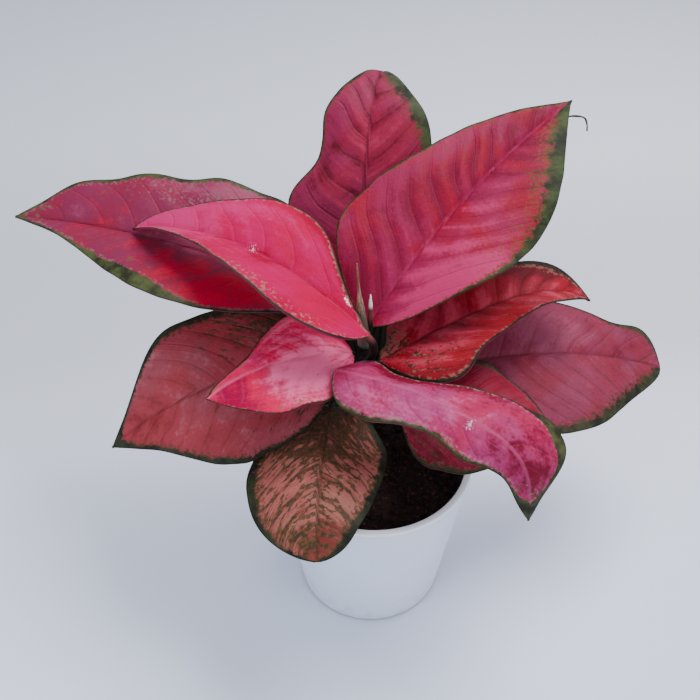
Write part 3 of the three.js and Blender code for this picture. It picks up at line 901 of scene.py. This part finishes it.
LOOKS = dict(
    leaf_back=look(
        main=(128, 20, 50), rose=(124, 26, 62), light=(154, 38, 68), deep=(84, 4, 22),
        green=(56, 64, 36), vein=(76, 6, 26), fray=(110, 40, 36),
        left=[1, 1.5, 1.2, 1.2, 1.5, 2.5, 4], right=[1, 2, 2.5, 4.5, 8, 10, 9],
        marks=dict(
            light=[(0.2, 0.2, 0.12, 0.3, 0.5)],
            deep=[
                (0.05, 0, 0.16, 0.9, 0.7), (0.3, -0.15, 0.12, 0.2, 0.6),
                (0.8, 0.1, 0.12, 0.4, 0.35), (0.45, 0.75, 0.12, 0.2, 0.6),
            ],
            mottle=[(0.6, -0.6, 0.2, 0.35, 0.45)],
            fray=[(0.7, -0.8, 0.2, 0.2, 0.6)],
        ),
        quilt=[0.9, 0.7], veining=0.22, puff=0.35,
    ),
    # The deep mark at its base is painted shade in the crown.
    leaf_upper_right=look(
        main=(134, 0, 35), rose=(130, 18, 60), light=(168, 40, 86), deep=(106, 0, 38),
        green=(52, 62, 24), vein=(142, 38, 78), fray=(112, 52, 28),
        left=[0.8, 0.8, 0.8, 1, 1, 1.2, 1.5], right=[0.6, 1, 2.4, 6, 10, 11, 6],
        marks=dict(
            light=[
                (0.22, -0.6, 0.16, 0.4, 1), (0.55, -0.3, 0.16, 0.22, 0.35),
                (0.45, 0.85, 0.2, 0.2, 0.25), (0.2, -0.95, 0.14, 0.2, 2.4),
            ],
            deep=[
                (0.85, 0.5, 0.12, 0.4, 0.5), (0.75, -0.35, 0.16, 0.35, 0.6),
                (0.36, 0.6, 0.14, 0.3, 0.5), (0.6, 0.3, 0.3, 0.5, 0.5), (0.02, 0.5, 0.13, 0.6, 1.3),
            ],
            mottle=[(0.85, -0.5, 0.12, 0.3, 0.5), (0.68, -0.62, 0.14, 0.25, 0.75)],
            fray=[(0.6, -0.78, 0.2, 0.14, 1)],
        ),
        veins=11, quilt=[1.7, 0.5], veining=0.12, puff=0.34, streak=0.5,
    ),
    leaf_upper_left=look(
        main=(172, 0, 60), rose=(172, 6, 74), light=(184, 42, 98), deep=(150, 0, 46),
        green=(92, 74, 62), vein=(206, 60, 104), fray=(150, 96, 88),
        left=[0.8, 1, 1.4, 1.2, 1, 1, 1.5], right=[0.8, 1.2, 0.9, 0.8, 0.8, 1, 1.5],
        marks=dict(
            light=[(0.8, 0, 0.2, 1, 1), (0.95, 0, 0.14, 1.2, 0.8), (0.5, -0.8, 0.25, 0.22, 0.6)],
            deep=[
                (0.42, 0.1, 0.06, 0.22, 0.9), (0.25, -0.95, 0.22, 0.16, 1),
                (0.1, -0.4, 0.12, 0.6, 0.5), (0.22, 0.9, 0.1, 0.2, 0.5),
                (0.38, -0.95, 0.1, 0.16, 0.7),
            ],
            fray=[(0.36, 0.86, 0.1, 0.14, 0.5), (0.12, 0.92, 0.14, 0.16, 0.35)],
            glint=[(0.47, 0, 0.02, 0.12, 0.9), (0.12, -0.66, 0.02, 0.12, 1.6)],
        ),
        veins=8, quilt=[0.8, 0.6], veining=0.08, streak=0.75, run=0.7, patchy=0.5, sheen=0.03,
        slot="pink_leaf",
    ),
    # The light mark along its right margin is a painted sheen, as are the mauve fray flecks.
    # The upper left leaf casts its shadow across this leaf's middle. Its deep colour is a
    # bright red, so the deep marks there and the light marks near the midrib are painted light.
    leaf_far_left=look(
        main=(124, 28, 55), rose=(115, 33, 64), light=(142, 56, 84), deep=(188, 0, 46),
        green=(70, 76, 42), vein=(104, 16, 42), fray=(120, 78, 84),
        left=[1.5, 1.2, 1.4, 4, 3.4, 1.6, 2.6], right=[1, 1.8, 2.4, 2.4, 3, 2, 4],
        marks=dict(
            light=[
                (0.42, -0.15, 0.1, 0.25, 1), (0.3, -0.85, 0.3, 0.2, 0.9),
                (0.25, -0.2, 0.2, 0.4, 0.8),
            ],
            deep=[(0.28, 0.65, 0.2, 0.4, 0.8), (0.45, 0.25, 0.14, 0.3, 0.4)],
            mottle=[(0.56, 0.65, 0.1, 0.25, 0.5), (0.92, 0, 0.08, 0.8, 0.8)],
            fray=[(0.4, -0.75, 0.2, 0.2, 0.8)],
            green=[(0.54, 0.9, 0.1, 0.18, 0.7)],
        ),
        quilt=[0.7, 0.7], veining=0.15, run=0.4, patchy=0.7,
    ),
    # The light mark along its right margin near the tip is a painted sheen, and the deep mark
    # near the base of its right half is painted shade under the leaves above it.
    leaf_lower_left=look(
        main=(144, 50, 60), rose=(138, 60, 70), light=(166, 98, 108), deep=(112, 34, 36),
        green=(46, 50, 34), vein=(100, 34, 38), fray=(86, 56, 40),
        left=[2, 2, 2.2, 3.4, 3.8, 3, 3], right=[2, 3, 4.5, 4.5, 3.2, 2.2, 2.2],
        marks=dict(
            light=[(0.8, -0.9, 0.2, 0.12, 0.5)],
            deep=[
                (0.22, -0.7, 0.22, 0.4, 0.6), (0.12, 0.3, 0.15, 0.5, 0.8),
                (0.85, 0.1, 0.12, 1, 0.45),
            ],
            mottle=[(0.25, -0.7, 0.26, 0.5, 1.1), (0.2, 0.5, 0.26, 0.7, 0.75)],
            green=[(1, 0, 0.05, 2, 0.8)],
        ),
        veining=0.15, patchy=0.9, streak=0.4, slot="salmon_leaf",
    ),
    # The deep mark near the base of its right half is painted shadow from the upper left leaf.
    # The light mark further along that half is painted light, where the half faces away.
    leaf_small_left=look(
        main=(202, 18, 70), rose=(190, 36, 86), light=(236, 106, 150), deep=(146, 4, 58),
        green=(88, 60, 44), vein=(222, 104, 140), fray=(140, 84, 70),
        left=[0.8, 1, 1, 0.8, 0.8, 0.8, 0.8], right=[1.2, 1.6, 1.6, 1.2, 1, 0.8, 0.8],
        marks=dict(
            light=[
                (0.35, 0.65, 0.4, 0.5, 0.7), (0.12, -0.1, 0.3, 0.4, 0.55),
                (0.38, 0.22, 0.2, 0.35, 0.9), (0.45, -0.75, 0.25, 0.3, 0.5),
            ],
            deep=[
                (0.85, 0.3, 0.12, 0.5, 0.8), (0.85, 0.9, 0.22, 0.45, 0.8),
                (0.14, -0.75, 0.13, 0.3, 1.3),
            ],
            fray=[(0.4, -0.95, 0.2, 0.12, 0.8), (0.5, 0.95, 0.2, 0.12, 0.8)],
        ),
        veins=7, veining=0.08, streak=0.95, run=0.85, patchy=0.4, sheen=0.04, slot="pink_leaf",
    ),
    # The deep mark at its base is painted shade under the leaves above it.
    leaf_front=look(
        main=(141, 88, 76), rose=(142, 74, 70), light=(164, 106, 88), deep=(104, 40, 36),
        green=(42, 46, 28), vein=(70, 34, 24), fray=(86, 56, 32),
        left=[3, 3.5, 4, 4, 4, 5, 4.5], right=[3, 3.5, 4.5, 5, 5, 4, 3],
        marks=dict(
            deep=[(0.95, 0.1, 0.18, 0.9, 1), (0.05, 0, 0.12, 1.2, 0.5)],
            mottle=[
                (0.1, 0, 0.2, 1.2, 0.9), (0.5, 0, 0.7, 1.5, 0.95), (0.37, -0.2, 0.05, 0.8, 0.45),
                (0.9, -0.4, 0.14, 0.8, 0.45),
            ],
        ),
        veins=8, quilt=[0.4, 0.4], veining=0.35, patchy=0.8, slot="salmon_leaf",
    ),
    # The strong deep mark near the base of its left half is painted shadow next to the middle
    # right leaf, and its glint is a painted highlight.
    leaf_arching_right=look(
        main=(156, 32, 72), rose=(150, 52, 96), light=(176, 78, 120), deep=(104, 4, 34),
        green=(74, 76, 46), vein=(176, 76, 116), fray=(136, 100, 98),
        left=[1, 0.8, 0.8, 0.8, 0.8, 2, 3], right=[1.5, 2.5, 2, 2, 1.5, 1.5, 3],
        marks=dict(
            light=[(0.46, -0.2, 0.1, 0.6, 0.25), (0.2, -0.6, 0.2, 0.3, 0.4)],
            deep=[
                (0.22, 0.8, 0.11, 0.38, 1.9), (0.5, 0.95, 0.2, 0.25, 0.8),
                (0.72, -0.1, 0.12, 0.8, 0.5), (0.84, 0.3, 0.09, 0.4, 0.7),
            ],
            mottle=[(0.88, -0.2, 0.09, 0.9, 0.8)],
            fray=[(0.35, -0.95, 0.25, 0.2, 0.9)],
            green=[(0.97, 0, 0.06, 2, 1.2), (0.8, 1, 0.09, 0.3, 1)],
            glint=[(0.52, -0.15, 0.014, 0.2, 1)],
        ),
        quilt=[0.8, 0.8], veining=0.05, streak=1, run=0.6, sheen=0.08, patchy=0.8, speckle=0.6,
        slot="pink_leaf",
    ),
    # The deep mark near the base of its right half is painted shade between it and the arching
    # leaf. Near the tip, the deep mark and the wide dark band on its left half are painted shade
    # under its curled margin.
    leaf_middle_right=look(
        main=(132, 6, 24), rose=(130, 18, 40), light=(162, 46, 66), deep=(90, 6, 20),
        green=(40, 32, 20), vein=(78, 8, 16), fray=(122, 78, 64),
        left=[2.5, 2.5, 2, 1.5, 3, 5.5, 3], right=[1.5, 2, 1.2, 1, 1, 1, 1.5],
        marks=dict(
            light=[
                (0.2, -0.5, 0.12, 0.3, 0.6), (0.8, -0.4, 0.2, 0.5, 0.5),
                (0.5, 0.2, 0.12, 0.25, 0.4), (0.05, 0.6, 0.08, 0.5, 1.4),
                (0.25, 0.4, 0.14, 0.4, 0.55),
            ],
            deep=[(0.8, 0.75, 0.2, 0.4, 1.5), (0.12, -0.95, 0.14, 0.2, 0.8)],
            mottle=[
                (0.12, -0.4, 0.16, 0.8, 0.8), (0.05, 0.6, 0.09, 0.4, 1.3),
                (0.6, -0.3, 0.2, 0.6, 0.5),
            ],
            fray=[(0.04, 0.6, 0.08, 0.5, 2)],
        ),
        veins=8, quilt=[0.8, 0.8], patchy=1.1, puff=0.35,
    ),
    leaf_far_right=look(
        main=(120, 32, 52), rose=(118, 42, 66), light=(136, 58, 82), deep=(92, 14, 28),
        green=(52, 54, 32), vein=(74, 16, 30), fray=(90, 44, 36),
        left=[2, 1.5, 1.2, 1.2, 1.2, 2.5, 6], right=[2, 2, 2.5, 4.5, 7, 8, 8],
        marks=dict(
            light=[(0.52, 0.35, 0.17, 0.35, 1)],
            deep=[(0.2, 0.2, 0.18, 0.7, 0.7), (0.75, 0.2, 0.14, 0.4, 0.35)],
            mottle=[
                (0.2, -0.6, 0.14, 0.5, 0.7), (0.7, -0.4, 0.2, 0.5, 0.45), (0.95, 0, 0.1, 1.2, 0.5),
            ],
        ),
        veins=10, veining=0.12, puff=0.1, patchy=1,
    ),
    leaf_lower_right=look(
        main=(124, 8, 40), rose=(118, 26, 50), light=(128, 42, 64), deep=(80, 8, 18),
        green=(56, 52, 34), vein=(66, 16, 20), fray=(98, 56, 52),
        left=[2, 3, 4, 3, 2, 2, 2], right=[2, 2.5, 2.5, 2, 2, 2, 2],
        marks=dict(
            deep=[(0.2, -0.3, 0.25, 0.8, 0.7)],
            mottle=[(0.2, 0.6, 0.12, 0.4, 0.4), (0.3, -0.6, 0.3, 0.4, 0.7)],
            fray=[(0.6, 0.95, 0.3, 0.15, 0.6)],
        ),
        veins=7, patchy=1,
    ),
)
rows = [row for own in LOOKS.values() for kind in own["marks"].values() for row in kind]
print("looks:", len(LOOKS), "marks:", len(rows))

# %% [markdown]
# ## A leaf's skin
# On the real leaf the pink lies between the veins in fine feathered streaks, breaks up into
# flecks near the margin, and ends in a ragged green band with a thin dark edge. The underside is
# paler and duller. The mesh carries how far each point is along the leaf, from the midrib and
# from the margin, and which vein it is near, so the skin's pattern follows the veins and not
# the axes of the world.


# %% What each point of a blade is painted with
def painted(own, numbers):
    """The strength of each kind of mark at each point, and the green band's width there."""
    s, u = numbers["s"], numbers["u"]
    strengths = {kind: 0.0 * s for kind in KINDS}
    for kind, marks in own["marks"].items():
        for at, across, long, wide, strength in marks:
            away = ((s - at) / long) ** 2 + ((u - across) / wide) ** 2
            strengths[kind] = strengths[kind] + strength * np.exp(-away)
    band = np.where(u > 0, along(own["left"], s), along(own["right"], s))
    strengths["band"] = band * np.clip(6 * np.abs(u), 0, 1)
    return strengths


print("kinds of mark:", KINDS)


# %% Leaf skin: the patterns that its layers are cut from
def patterns(f, own):
    """Streaks along the veins or lengthways, patches, flecks and grain, each about 0.5."""
    where = f.place()
    vein, out = f.read("vein"), f.read("out")
    feather = f.noise(f.vector(vein * 5.0, out * 0.05, 0.0), 1.0, 4.0, 0.6)
    lengthways = f.noise(f.vector(f.read("s") * 2.2, f.read("u") * 8.0, 3.0), 1.0, 4.0, 0.6)
    return dict(
        streak=feather * (1 - own["run"]) + lengthways * own["run"],
        patch=f.noise(where, 90.0, 4.0, 0.65),
        drift=f.noise(where, 42.0, 2.0),
        fleck=f.noise(where, 330.0, 4.0, 0.65),
        speck=f.noise(where, 560.0, 3.0),
        grain=f.noise(where, 1100.0, 3.0),
        ragged=f.noise(f.vector(vein * 1.6, out * 0.14, 0.0), 1.0, 4.0, 0.65),
    )


print("streaks run lengthways on", [name for name, own in LOOKS.items() if own["run"] > 0.5])


# %% Leaf skin: the pink body
def pink_body(f, own, cut):
    """Main colour that drifts to rose, with light and deep tones feathered into it. Some are the
    leaf's own, and some, like the lighter puffs between the veins, are painted light and shade.
    """
    # Painted light and shade: lighter on the puffs between the side veins, darker along them.
    puff_light_and_shade = f.read("vein").fold(0.5) - 0.25
    puff_light_and_shade = puff_light_and_shade * (1.6 - 1.6 * abs(f.read("u")))
    tone = f.read("light") - f.read("deep") + puff_light_and_shade * (4 * own["puff"])
    tone = tone + (cut["streak"] - 0.5) * (2 * own["streak"])
    tone = tone + (cut["patch"] - 0.5) * (2 * own["patchy"])
    tone = tone + (cut["speck"] - 0.5) * (2 * own["speckle"])
    colour = f.mix(cut["drift"].step(0.38, 0.62), paint(*own["main"]), paint(*own["rose"]))
    colour = f.mix(tone.step(0.0, 0.95), colour, paint(*own["light"]))
    return f.mix((0 - tone).step(0.0, 0.95), colour, paint(*own["deep"]))


print("strongest puffing between the veins:", max(own["puff"] for own in LOOKS.values()))


# %% Leaf skin: veins and mottling
def vein_line(f, spacing, width):
    """1 on a side vein and 0 a width away from it, in millimetres."""
    return 1 - (f.read("vein").fold(0.5) * spacing).step(0.1, width)


def net(f, cut, line):
    """Olive brown mottling: a broken net of flecks that thickens with the mottle marks."""
    vein, out = f.read("vein"), f.read("out")
    wander = f.vector(vein * 2.6 + cut["fleck"] * 0.5, out * 0.13 + cut["patch"] * 0.5, 0.0)
    crackle = 1 - f.cells(wander, 1.0, "DISTANCE_TO_EDGE").step(0.0, 0.16)
    fleck = f.noise(f.vector(vein * 4.0, out * 0.2, 5.0), 1.0, 4.0, 0.65)
    cover = (f.read("mottle") - 1) * 0.3
    return (fleck + crackle * 0.12 + line * 0.1 + cover).step(0.5, 0.58)


print("mottled leaves:", [name for name, own in LOOKS.items() if "mottle" in own["marks"]])

# %% Leaf skin: the green margin
BAND_SOFTNESS = 0.35


def margin(f, own, cut, colour):
    """A torn green band with brown flecks along its inner side and a thin dark edge."""
    green, dark_green = paint(*own["green"]), paint(*[0.45 * c for c in own["green"]])
    rim, width = f.read("rim"), f.read("band")
    soft = width * BAND_SOFTNESS + 0.3
    inside = width * (0.5 + cut["ragged"]) + f.read("green") * 12.0 - rim
    fringe = inside.step(soft * -2.5, 0.0).most(f.read("fray"))
    flecks = (cut["speck"] + fringe * 0.14 - 0.02).step(0.58, 0.66)
    colour = f.mix(flecks * fringe.step(0.0, 0.3) * 0.85, colour, paint(*own["fray"]))
    band = (inside + (cut["fleck"] - 0.5) * soft * 5.0).step(soft * -0.6, soft)
    colour = f.mix(band, colour, f.mix(cut["patch"].step(0.35, 0.65), green, dark_green))
    return f.mix((1 - rim.step(0.2, 0.9)) * 0.75, colour, dark_green)


print("widest green band:", max(max(own["right"]) for own in LOOKS.values()), "mm")


# %% Leaf skin: all its layers
def underside(own):
    """The paler, duller colour below a leaf."""
    return [0.55 * c + 60 for c in own["main"]]


def leaf_skin(name, leaf, own):
    """Body, veins, mottling, green margin, glints and underside, one over the other."""
    f = Finish(name + "_skin")
    cut = patterns(f, own)
    line = vein_line(f, leaf["length"] / own["veins"], 1.4) * f.read("rim").step(0.5, 8.0)
    rib = 1 - f.read("out").step(0.2, 1.5)
    colour = pink_body(f, own, cut)
    colour = f.mix((line * own["veining"]).most(rib * 0.45), colour, paint(*own["vein"]))
    mottling = f.mix(cut["speck"].step(0.45, 0.6), paint(*own["green"]), paint(*own["fray"]))
    colour = f.mix(net(f, cut, line) * 0.85, colour, mottling)
    colour = margin(f, own, cut, colour)
    glint = (cut["grain"] + f.read("glint") * 0.25).step(0.66, 0.8) * f.read("glint")
    colour = f.mix(glint, colour, paint(236, 196, 212))
    colour = f.mix(f.read("under") * 0.6, colour, paint(*underside(own)))
    height = cut["streak"] * 0.6 + cut["patch"] * 0.8 + cut["grain"] * 0.25 - line * 0.3
    return f.surface(
        Base_Color=colour,
        Roughness=0.46 + cut["patch"] * 0.14 + f.read("under") * 0.2,
        Normal=f.bump(height, 0.0006),
        Specular_IOR_Level=own["sheen"],
    )


print("below the front leaf:", [round(c) for c in underside(LOOKS["leaf_front"])])


# %% Grow the leaves
def carry(piece, name, values):
    """Stores one number for each point of the mesh, for its finish to read."""
    attribute = piece.data.attributes.new(name, "FLOAT", "POINT")
    attribute.data.foreach_set("value", np.asarray(values, dtype=np.float32).ravel())


for name, leaf in LEAVES.items():
    own = LOOKS[name]
    points, faces, numbers = blade(leaf, own)
    piece = make_piece(name + "_blade", points, faces, leaf_skin(name, leaf, own), sharp=70.0)
    numbers.update(painted(own, numbers))
    for key, values in numbers.items():
        carry(piece, key, values)
    dress(piece, name)

# %% [markdown]
# ## The cane and the petioles
# Every leaf stands on a petiole that clasps the cane with a sheath. They grew as one piece, so
# each petiole is made as a tube with a groove and two thin wings on its inner side. A few broad
# open sheaths, left by older leaves, close the crown's heart and the gap behind the front leaf.
# The tubes and the cane are laid into one another, and a voxel remesh fuses them under one skin.
# A Boolean would leave hard creases where they meet, and a plant has none. The stems are deep
# green low down, with painted shade making them nearly black in the crown, where hardly any
# light gets in, and pale at the youngest sheath's tip, so their colour follows the height, with
# fine lines drawn out along it.

# %% Petiole curves
PETIOLE = dict(sheath=4.4, middle=2.5, end=1.9, rising=0.45, arriving=0.35, seat=-0.6)
CURVE_STEPS = 60


def cane_at(height):
    share = (height - CANE_FOOT[2]) / (CANE_HEAD[2] - CANE_FOOT[2])
    return CANE_FOOT + (CANE_HEAD - CANE_FOOT) * share


def bezier(a, b, c, d, steps):
    t = np.linspace(0, 1, steps + 1)[:, None]
    return (1 - t) ** 3 * a + 3 * (1 - t) ** 2 * t * b + 3 * (1 - t) * t**2 * c + t**3 * d


def petiole_curve(leaf):
    """It rises beside the cane and arrives along the midrib. Where the blade's rounded base
    reaches back past the petiole, by a share of the midrib, it arrives from below."""
    _, spine, _, up = midrib(leaf)
    at = round(leaf["lobe"] * ROWS)
    arriving = up[at] if leaf["lobe"] else unit(spine[at + 1] - spine[at])
    seat = BLADE["stem_thick"] / 2 + PETIOLE["seat"] if leaf["lobe"] else PETIOLE["seat"]
    end = spine[at] - arriving * seat
    start = cane_at(leaf["foot"])
    reach = np.linalg.norm(end - start)
    rising = start + np.array([0, 0, PETIOLE["rising"] * reach])
    return bezier(start, rising, end - arriving * PETIOLE["arriving"] * reach, end, CURVE_STEPS)


for name in ("leaf_back", "leaf_arching_right"):
    steps = np.diff(petiole_curve(LEAVES[name]), axis=0)
    print(name, "petiole", round(float(np.linalg.norm(steps, axis=1).sum())), "mm")

# %% Tubes with a shaped section
TUBE_SIDES = 28
UPWARD = np.array([0.0, 0.0, 1.0])
SIDEWAYS = np.array([1.0, 0.0, 0.0])
FORWARD = np.array([0.0, -1.0, 0.0])


def tube(curve, radius_at, inner):
    """A closed tube. radius_at reads the share of its length and the angle from inner."""
    ahead = unit(np.gradient(curve, axis=0))
    facing = unit(inner - ahead * np.sum(ahead * inner, -1, keepdims=True))
    beside = np.cross(ahead, facing)
    s = np.linspace(0, 1, len(curve))[:, None]
    turn = np.linspace(0, 2 * np.pi, TUBE_SIDES, endpoint=False)[None, :]
    radius = radius_at(s, (turn + np.pi) % (2 * np.pi) - np.pi)[..., None]
    ring = facing[:, None] * np.cos(turn)[..., None] + beside[:, None] * np.sin(turn)[..., None]
    points = (curve[:, None] + ring * radius).reshape(-1, 3)
    return points, capped(len(curve), TUBE_SIDES)


def bell(values, middle, width):
    """1 at the middle, falling off smoothly over a width."""
    return np.exp(-(((values - middle) / width) ** 2))


print("a bell one width from its middle:", round(float(bell(1.0, 0.0, 1.0)), 2))

# %% Sections of the petioles and the cane
CANE = dict(foot=6.5, head=3.6, scars=6, scar=0.5)
PETIOLE.update(groove=0.22, groove_width=0.5)
PETIOLE.update(wing=1.3, wing_at=0.22, wing_reach=0.22, wing_side=0.8, wing_width=0.28)


def petiole_radius(s, turn):
    """Thick at the sheath, thin at the blade, with a groove between two wings on the inside."""
    p = PETIOLE
    lower = along([p["sheath"], p["middle"]], 2 * s)
    upper = along([p["middle"], p["end"]], 2 * s - 1)
    ends = np.sin(np.pi * np.clip(s, 0, 1)) ** 0.5
    groove = p["groove"] * bell(turn, 0.0, p["groove_width"]) * ends
    wing = p["wing"] * bell(s, p["wing_at"], p["wing_reach"])
    wing = wing * bell(np.abs(turn), p["wing_side"], p["wing_width"])
    return np.where(s < 0.5, lower, upper) * (1 - groove) + wing


def cane_radius(s, turn):
    """Old leaf scars ring the cane, each a little out of true."""
    scars = np.cos(2 * np.pi * (CANE["scars"] * s + 0.03 * np.sin(turn + 9 * s))) ** 8
    body = CANE["foot"] + (CANE["head"] - CANE["foot"]) * s
    return body + CANE["scar"] * scars + 0.15 * np.sin(3 * turn + 4 * s)


print("petiole radius at the sheath:", petiole_radius(np.array([[0.1]]), np.array([[0.8]])))

# %% Stem finish
# The heights, in metres, where painted shade darkens the heart and where the young tip turns
# tan and pale.
HEART_SHADE = (0.12, 0.138)
TAN_TIP = (0.176, 0.182)
PALE_TIP = (0.1845, 0.188)


def pale_stem():
    """Deep green, with pale sheath tips and faint lengthways lines. Painted shade makes it
    almost black in the crown.
    """
    f = Finish("pale_green_stem")
    where = f.place()
    height = f.coordinate(where, 2)
    cloud = f.noise(where, 90.0, 4.0)
    lines = f.noise(f.drawn_out(where, 0.12), 900.0, 3.0)
    colour = f.mix(cloud.step(0.3, 0.7), paint(44, 52, 30), paint(66, 72, 42))
    colour = f.mix(lines.step(0.5, 0.8) * 0.4, colour, paint(104, 88, 62))
    # Painted shade: the crown's heart goes nearly black.
    colour = f.mix(height.step(*HEART_SHADE) * 0.92, colour, paint(8, 13, 9))
    colour = f.mix(height.step(*TAN_TIP), colour, paint(112, 52, 52))
    colour = f.mix(height.step(*PALE_TIP), colour, paint(250, 244, 236))
    spots = f.noise(where, 420.0, 3.0).step(0.63, 0.72)
    colour = f.mix(spots * 0.5, colour, paint(92, 62, 44))
    return f.surface(
        Base_Color=colour,
        Roughness=0.42 + cloud * 0.15,
        Normal=f.bump(lines + cloud, 0.0003),
        Specular_IOR_Level=0.15,
    )


stem_finish = pale_stem()
print("finish:", stem_finish.name)

# %% Open sheaths
# Each row is foot, tip, half breadth and how blunt the tip is. The last one is narrow, and its
# pale tip shows beside the new leaf.
SHEATHS = (
    ((-2, 16, 132), (3, 24, 177), 4.8, 5.0),
    ((-7, 15, 132), (-13.5, 25, 171), 4.4, 3.0),
    ((-3, 14, 110), (15, 21, 160), 8.6, 2.2),
    ((-8, 12, 112), (-27, 10, 137), 4.2, 3.0),
    ((-2, 15, 165), (-2.2, 19, 194), 1.15, 4.0),
)


def sheath_curve(foot, tip):
    """Straight up from the foot, and straight up again into the tip."""
    foot, tip = np.array(foot, float), np.array(tip, float)
    bulge = np.array([0.0, 0.0, 0.4 * (tip - foot)[2]])
    return bezier(foot, foot + bulge, tip - bulge, tip, 24)


def sheath_radius(breadth, blunt):
    """Broad and thin, narrow where it leaves the cane and narrowed again to its tip."""

    def radius_at(s, turn):
        opened = np.clip(4 * s, 0, 1) ** 0.5
        return breadth * opened * (1 - s**blunt) ** 0.8 * (0.6 - 0.4 * np.cos(2 * turn)) + 0.3

    return radius_at


print("open sheaths:", len(SHEATHS), "broadest", 2 * max(row[2] for row in SHEATHS), "mm")

# %% Fuse the cane, the petioles and the sheaths
VOXEL = 0.42
INWARD_AT = 170


def fused(name, parts, material, voxel):
    """Laid into one another, the closed parts come out of a voxel remesh as one skin."""
    points, faces = [], []
    for part_points, part_faces in parts:
        faces += [[i + len(points) for i in face] for face in part_faces]
        points += list(part_points)
    piece = make_piece(name, points, faces, material)
    change = piece.modifiers.new("fuse", "REMESH")
    change.mode = "VOXEL"
    change.voxel_size = voxel * MM
    smooth = piece.modifiers.new("soften", "SMOOTH")
    smooth.iterations = 4
    settle(piece)
    piece.data.shade_smooth()
    return piece


parts = [tube(np.linspace(CANE_FOOT, CANE_HEAD, 160), cane_radius, SIDEWAYS)]
for leaf in LEAVES.values():
    curve = petiole_curve(leaf)
    inward = unit(cane_at(INWARD_AT) - curve[CURVE_STEPS // 2])
    parts.append(tube(curve, petiole_radius, inward + UPWARD))
for foot, tip, breadth, blunt in SHEATHS:
    parts.append(tube(sheath_curve(foot, tip), sheath_radius(breadth, blunt), FORWARD))
stems = fused("cane_with_petioles", parts, stem_finish, VOXEL)
dress(stems, "cane_and_petioles")

# %% [markdown]
# ## The new leaf and the thread on the drip tip
# The youngest leaf is still rolled up, as a thin dull spear with one edge wound over the other.
# Its section is a spiral, so the overlap shows as a step that winds up the spear, which a plain
# cone would not have. The tip of the big leaf ends in a dry brown thread, made as a thin tube
# along a few points.

# %% Rolled leaf
SPEAR = dict(foot=(-5, 14, 160), tip=(-9, 16, 214), radius=3.3, tip_radius=0.35)
SPEAR.update(step=0.32, turns=0.8, full_until=0.35, thin_from=0.8)


def spear_radius(s, turn):
    """Full below, thin above, and less by a small step where the outer edge ends."""
    wound = (turn / (2 * np.pi) + 0.5 + SPEAR["turns"] * s) % 1.0
    share = np.clip((s - SPEAR["full_until"]) / (SPEAR["thin_from"] - SPEAR["full_until"]), 0, 1)
    narrowed = 0.75 * share**2 * (3 - 2 * share) + 0.25 * s
    body = SPEAR["radius"] + (SPEAR["tip_radius"] - SPEAR["radius"]) * narrowed
    return body * (1 - SPEAR["step"] * (1 - wound) ** 3 * 0.6)


def rolled_skin():
    """Dull tan with fine lines along it, browner towards the tip, and grey low in the crown as
    painted shade.
    """
    f = Finish("cream_new_leaf")
    where = f.place()
    height = f.coordinate(where, 2)
    lines = f.noise(f.drawn_out(where, 0.05), 1500.0, 2.0)
    colour = f.mix(lines.step(0.35, 0.65), paint(104, 80, 58), paint(158, 134, 104))
    colour = f.mix(height.step(0.196, 0.214) * 0.6, colour, paint(112, 62, 48))
    # Painted shade: grey at the foot, down in the crown.
    colour = f.mix(height.step(0.195, 0.182) * 0.8, colour, paint(66, 66, 60))
    return f.surface(Base_Color=colour, Roughness=0.4, Normal=f.bump(lines, 0.0002))


curve = np.linspace(SPEAR["foot"], SPEAR["tip"], 90)
points, faces = tube(curve, spear_radius, FORWARD)
spear = make_piece("new_leaf_spear", points, faces, rolled_skin())
dress(spear, "rolled_new_leaf")

# %% Drip tip
THREAD = np.array(
    [
        (100.5, 119.5, 235.0),
        (104.1, 120, 235.3),
        (108.8, 120, 235.8),
        (113.9, 120, 234.8),
        (116.1, 120, 231.1),
        (116.9, 120, 227.0),
    ]
)
THREAD_RADIUS = 0.6


def dry_thread():
    """Dead brown tissue, a little lighter here and there."""
    f = Finish("dry_tip")
    colour = f.mix(f.noise(f.place(), 700.0), paint(34, 20, 18), paint(62, 42, 32))
    return f.surface(Base_Color=colour, Roughness=0.7)


def thread_radius(s, turn):
    """It thins to its end, and is twisted flat."""
    return THREAD_RADIUS * (1 - 0.35 * s) * (1 + 0.15 * np.sin(2 * turn + 20 * s))


share = np.linspace(0, 1, 60)
curve = np.stack([along(THREAD[:, axis], share) for axis in range(3)], -1)
points, faces = tube(curve, thread_radius, UPWARD)
thread = make_piece("drip_tip_thread", points, faces, dry_thread())
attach(thread, "root")
print("thread points:", len(thread.data.vertices))
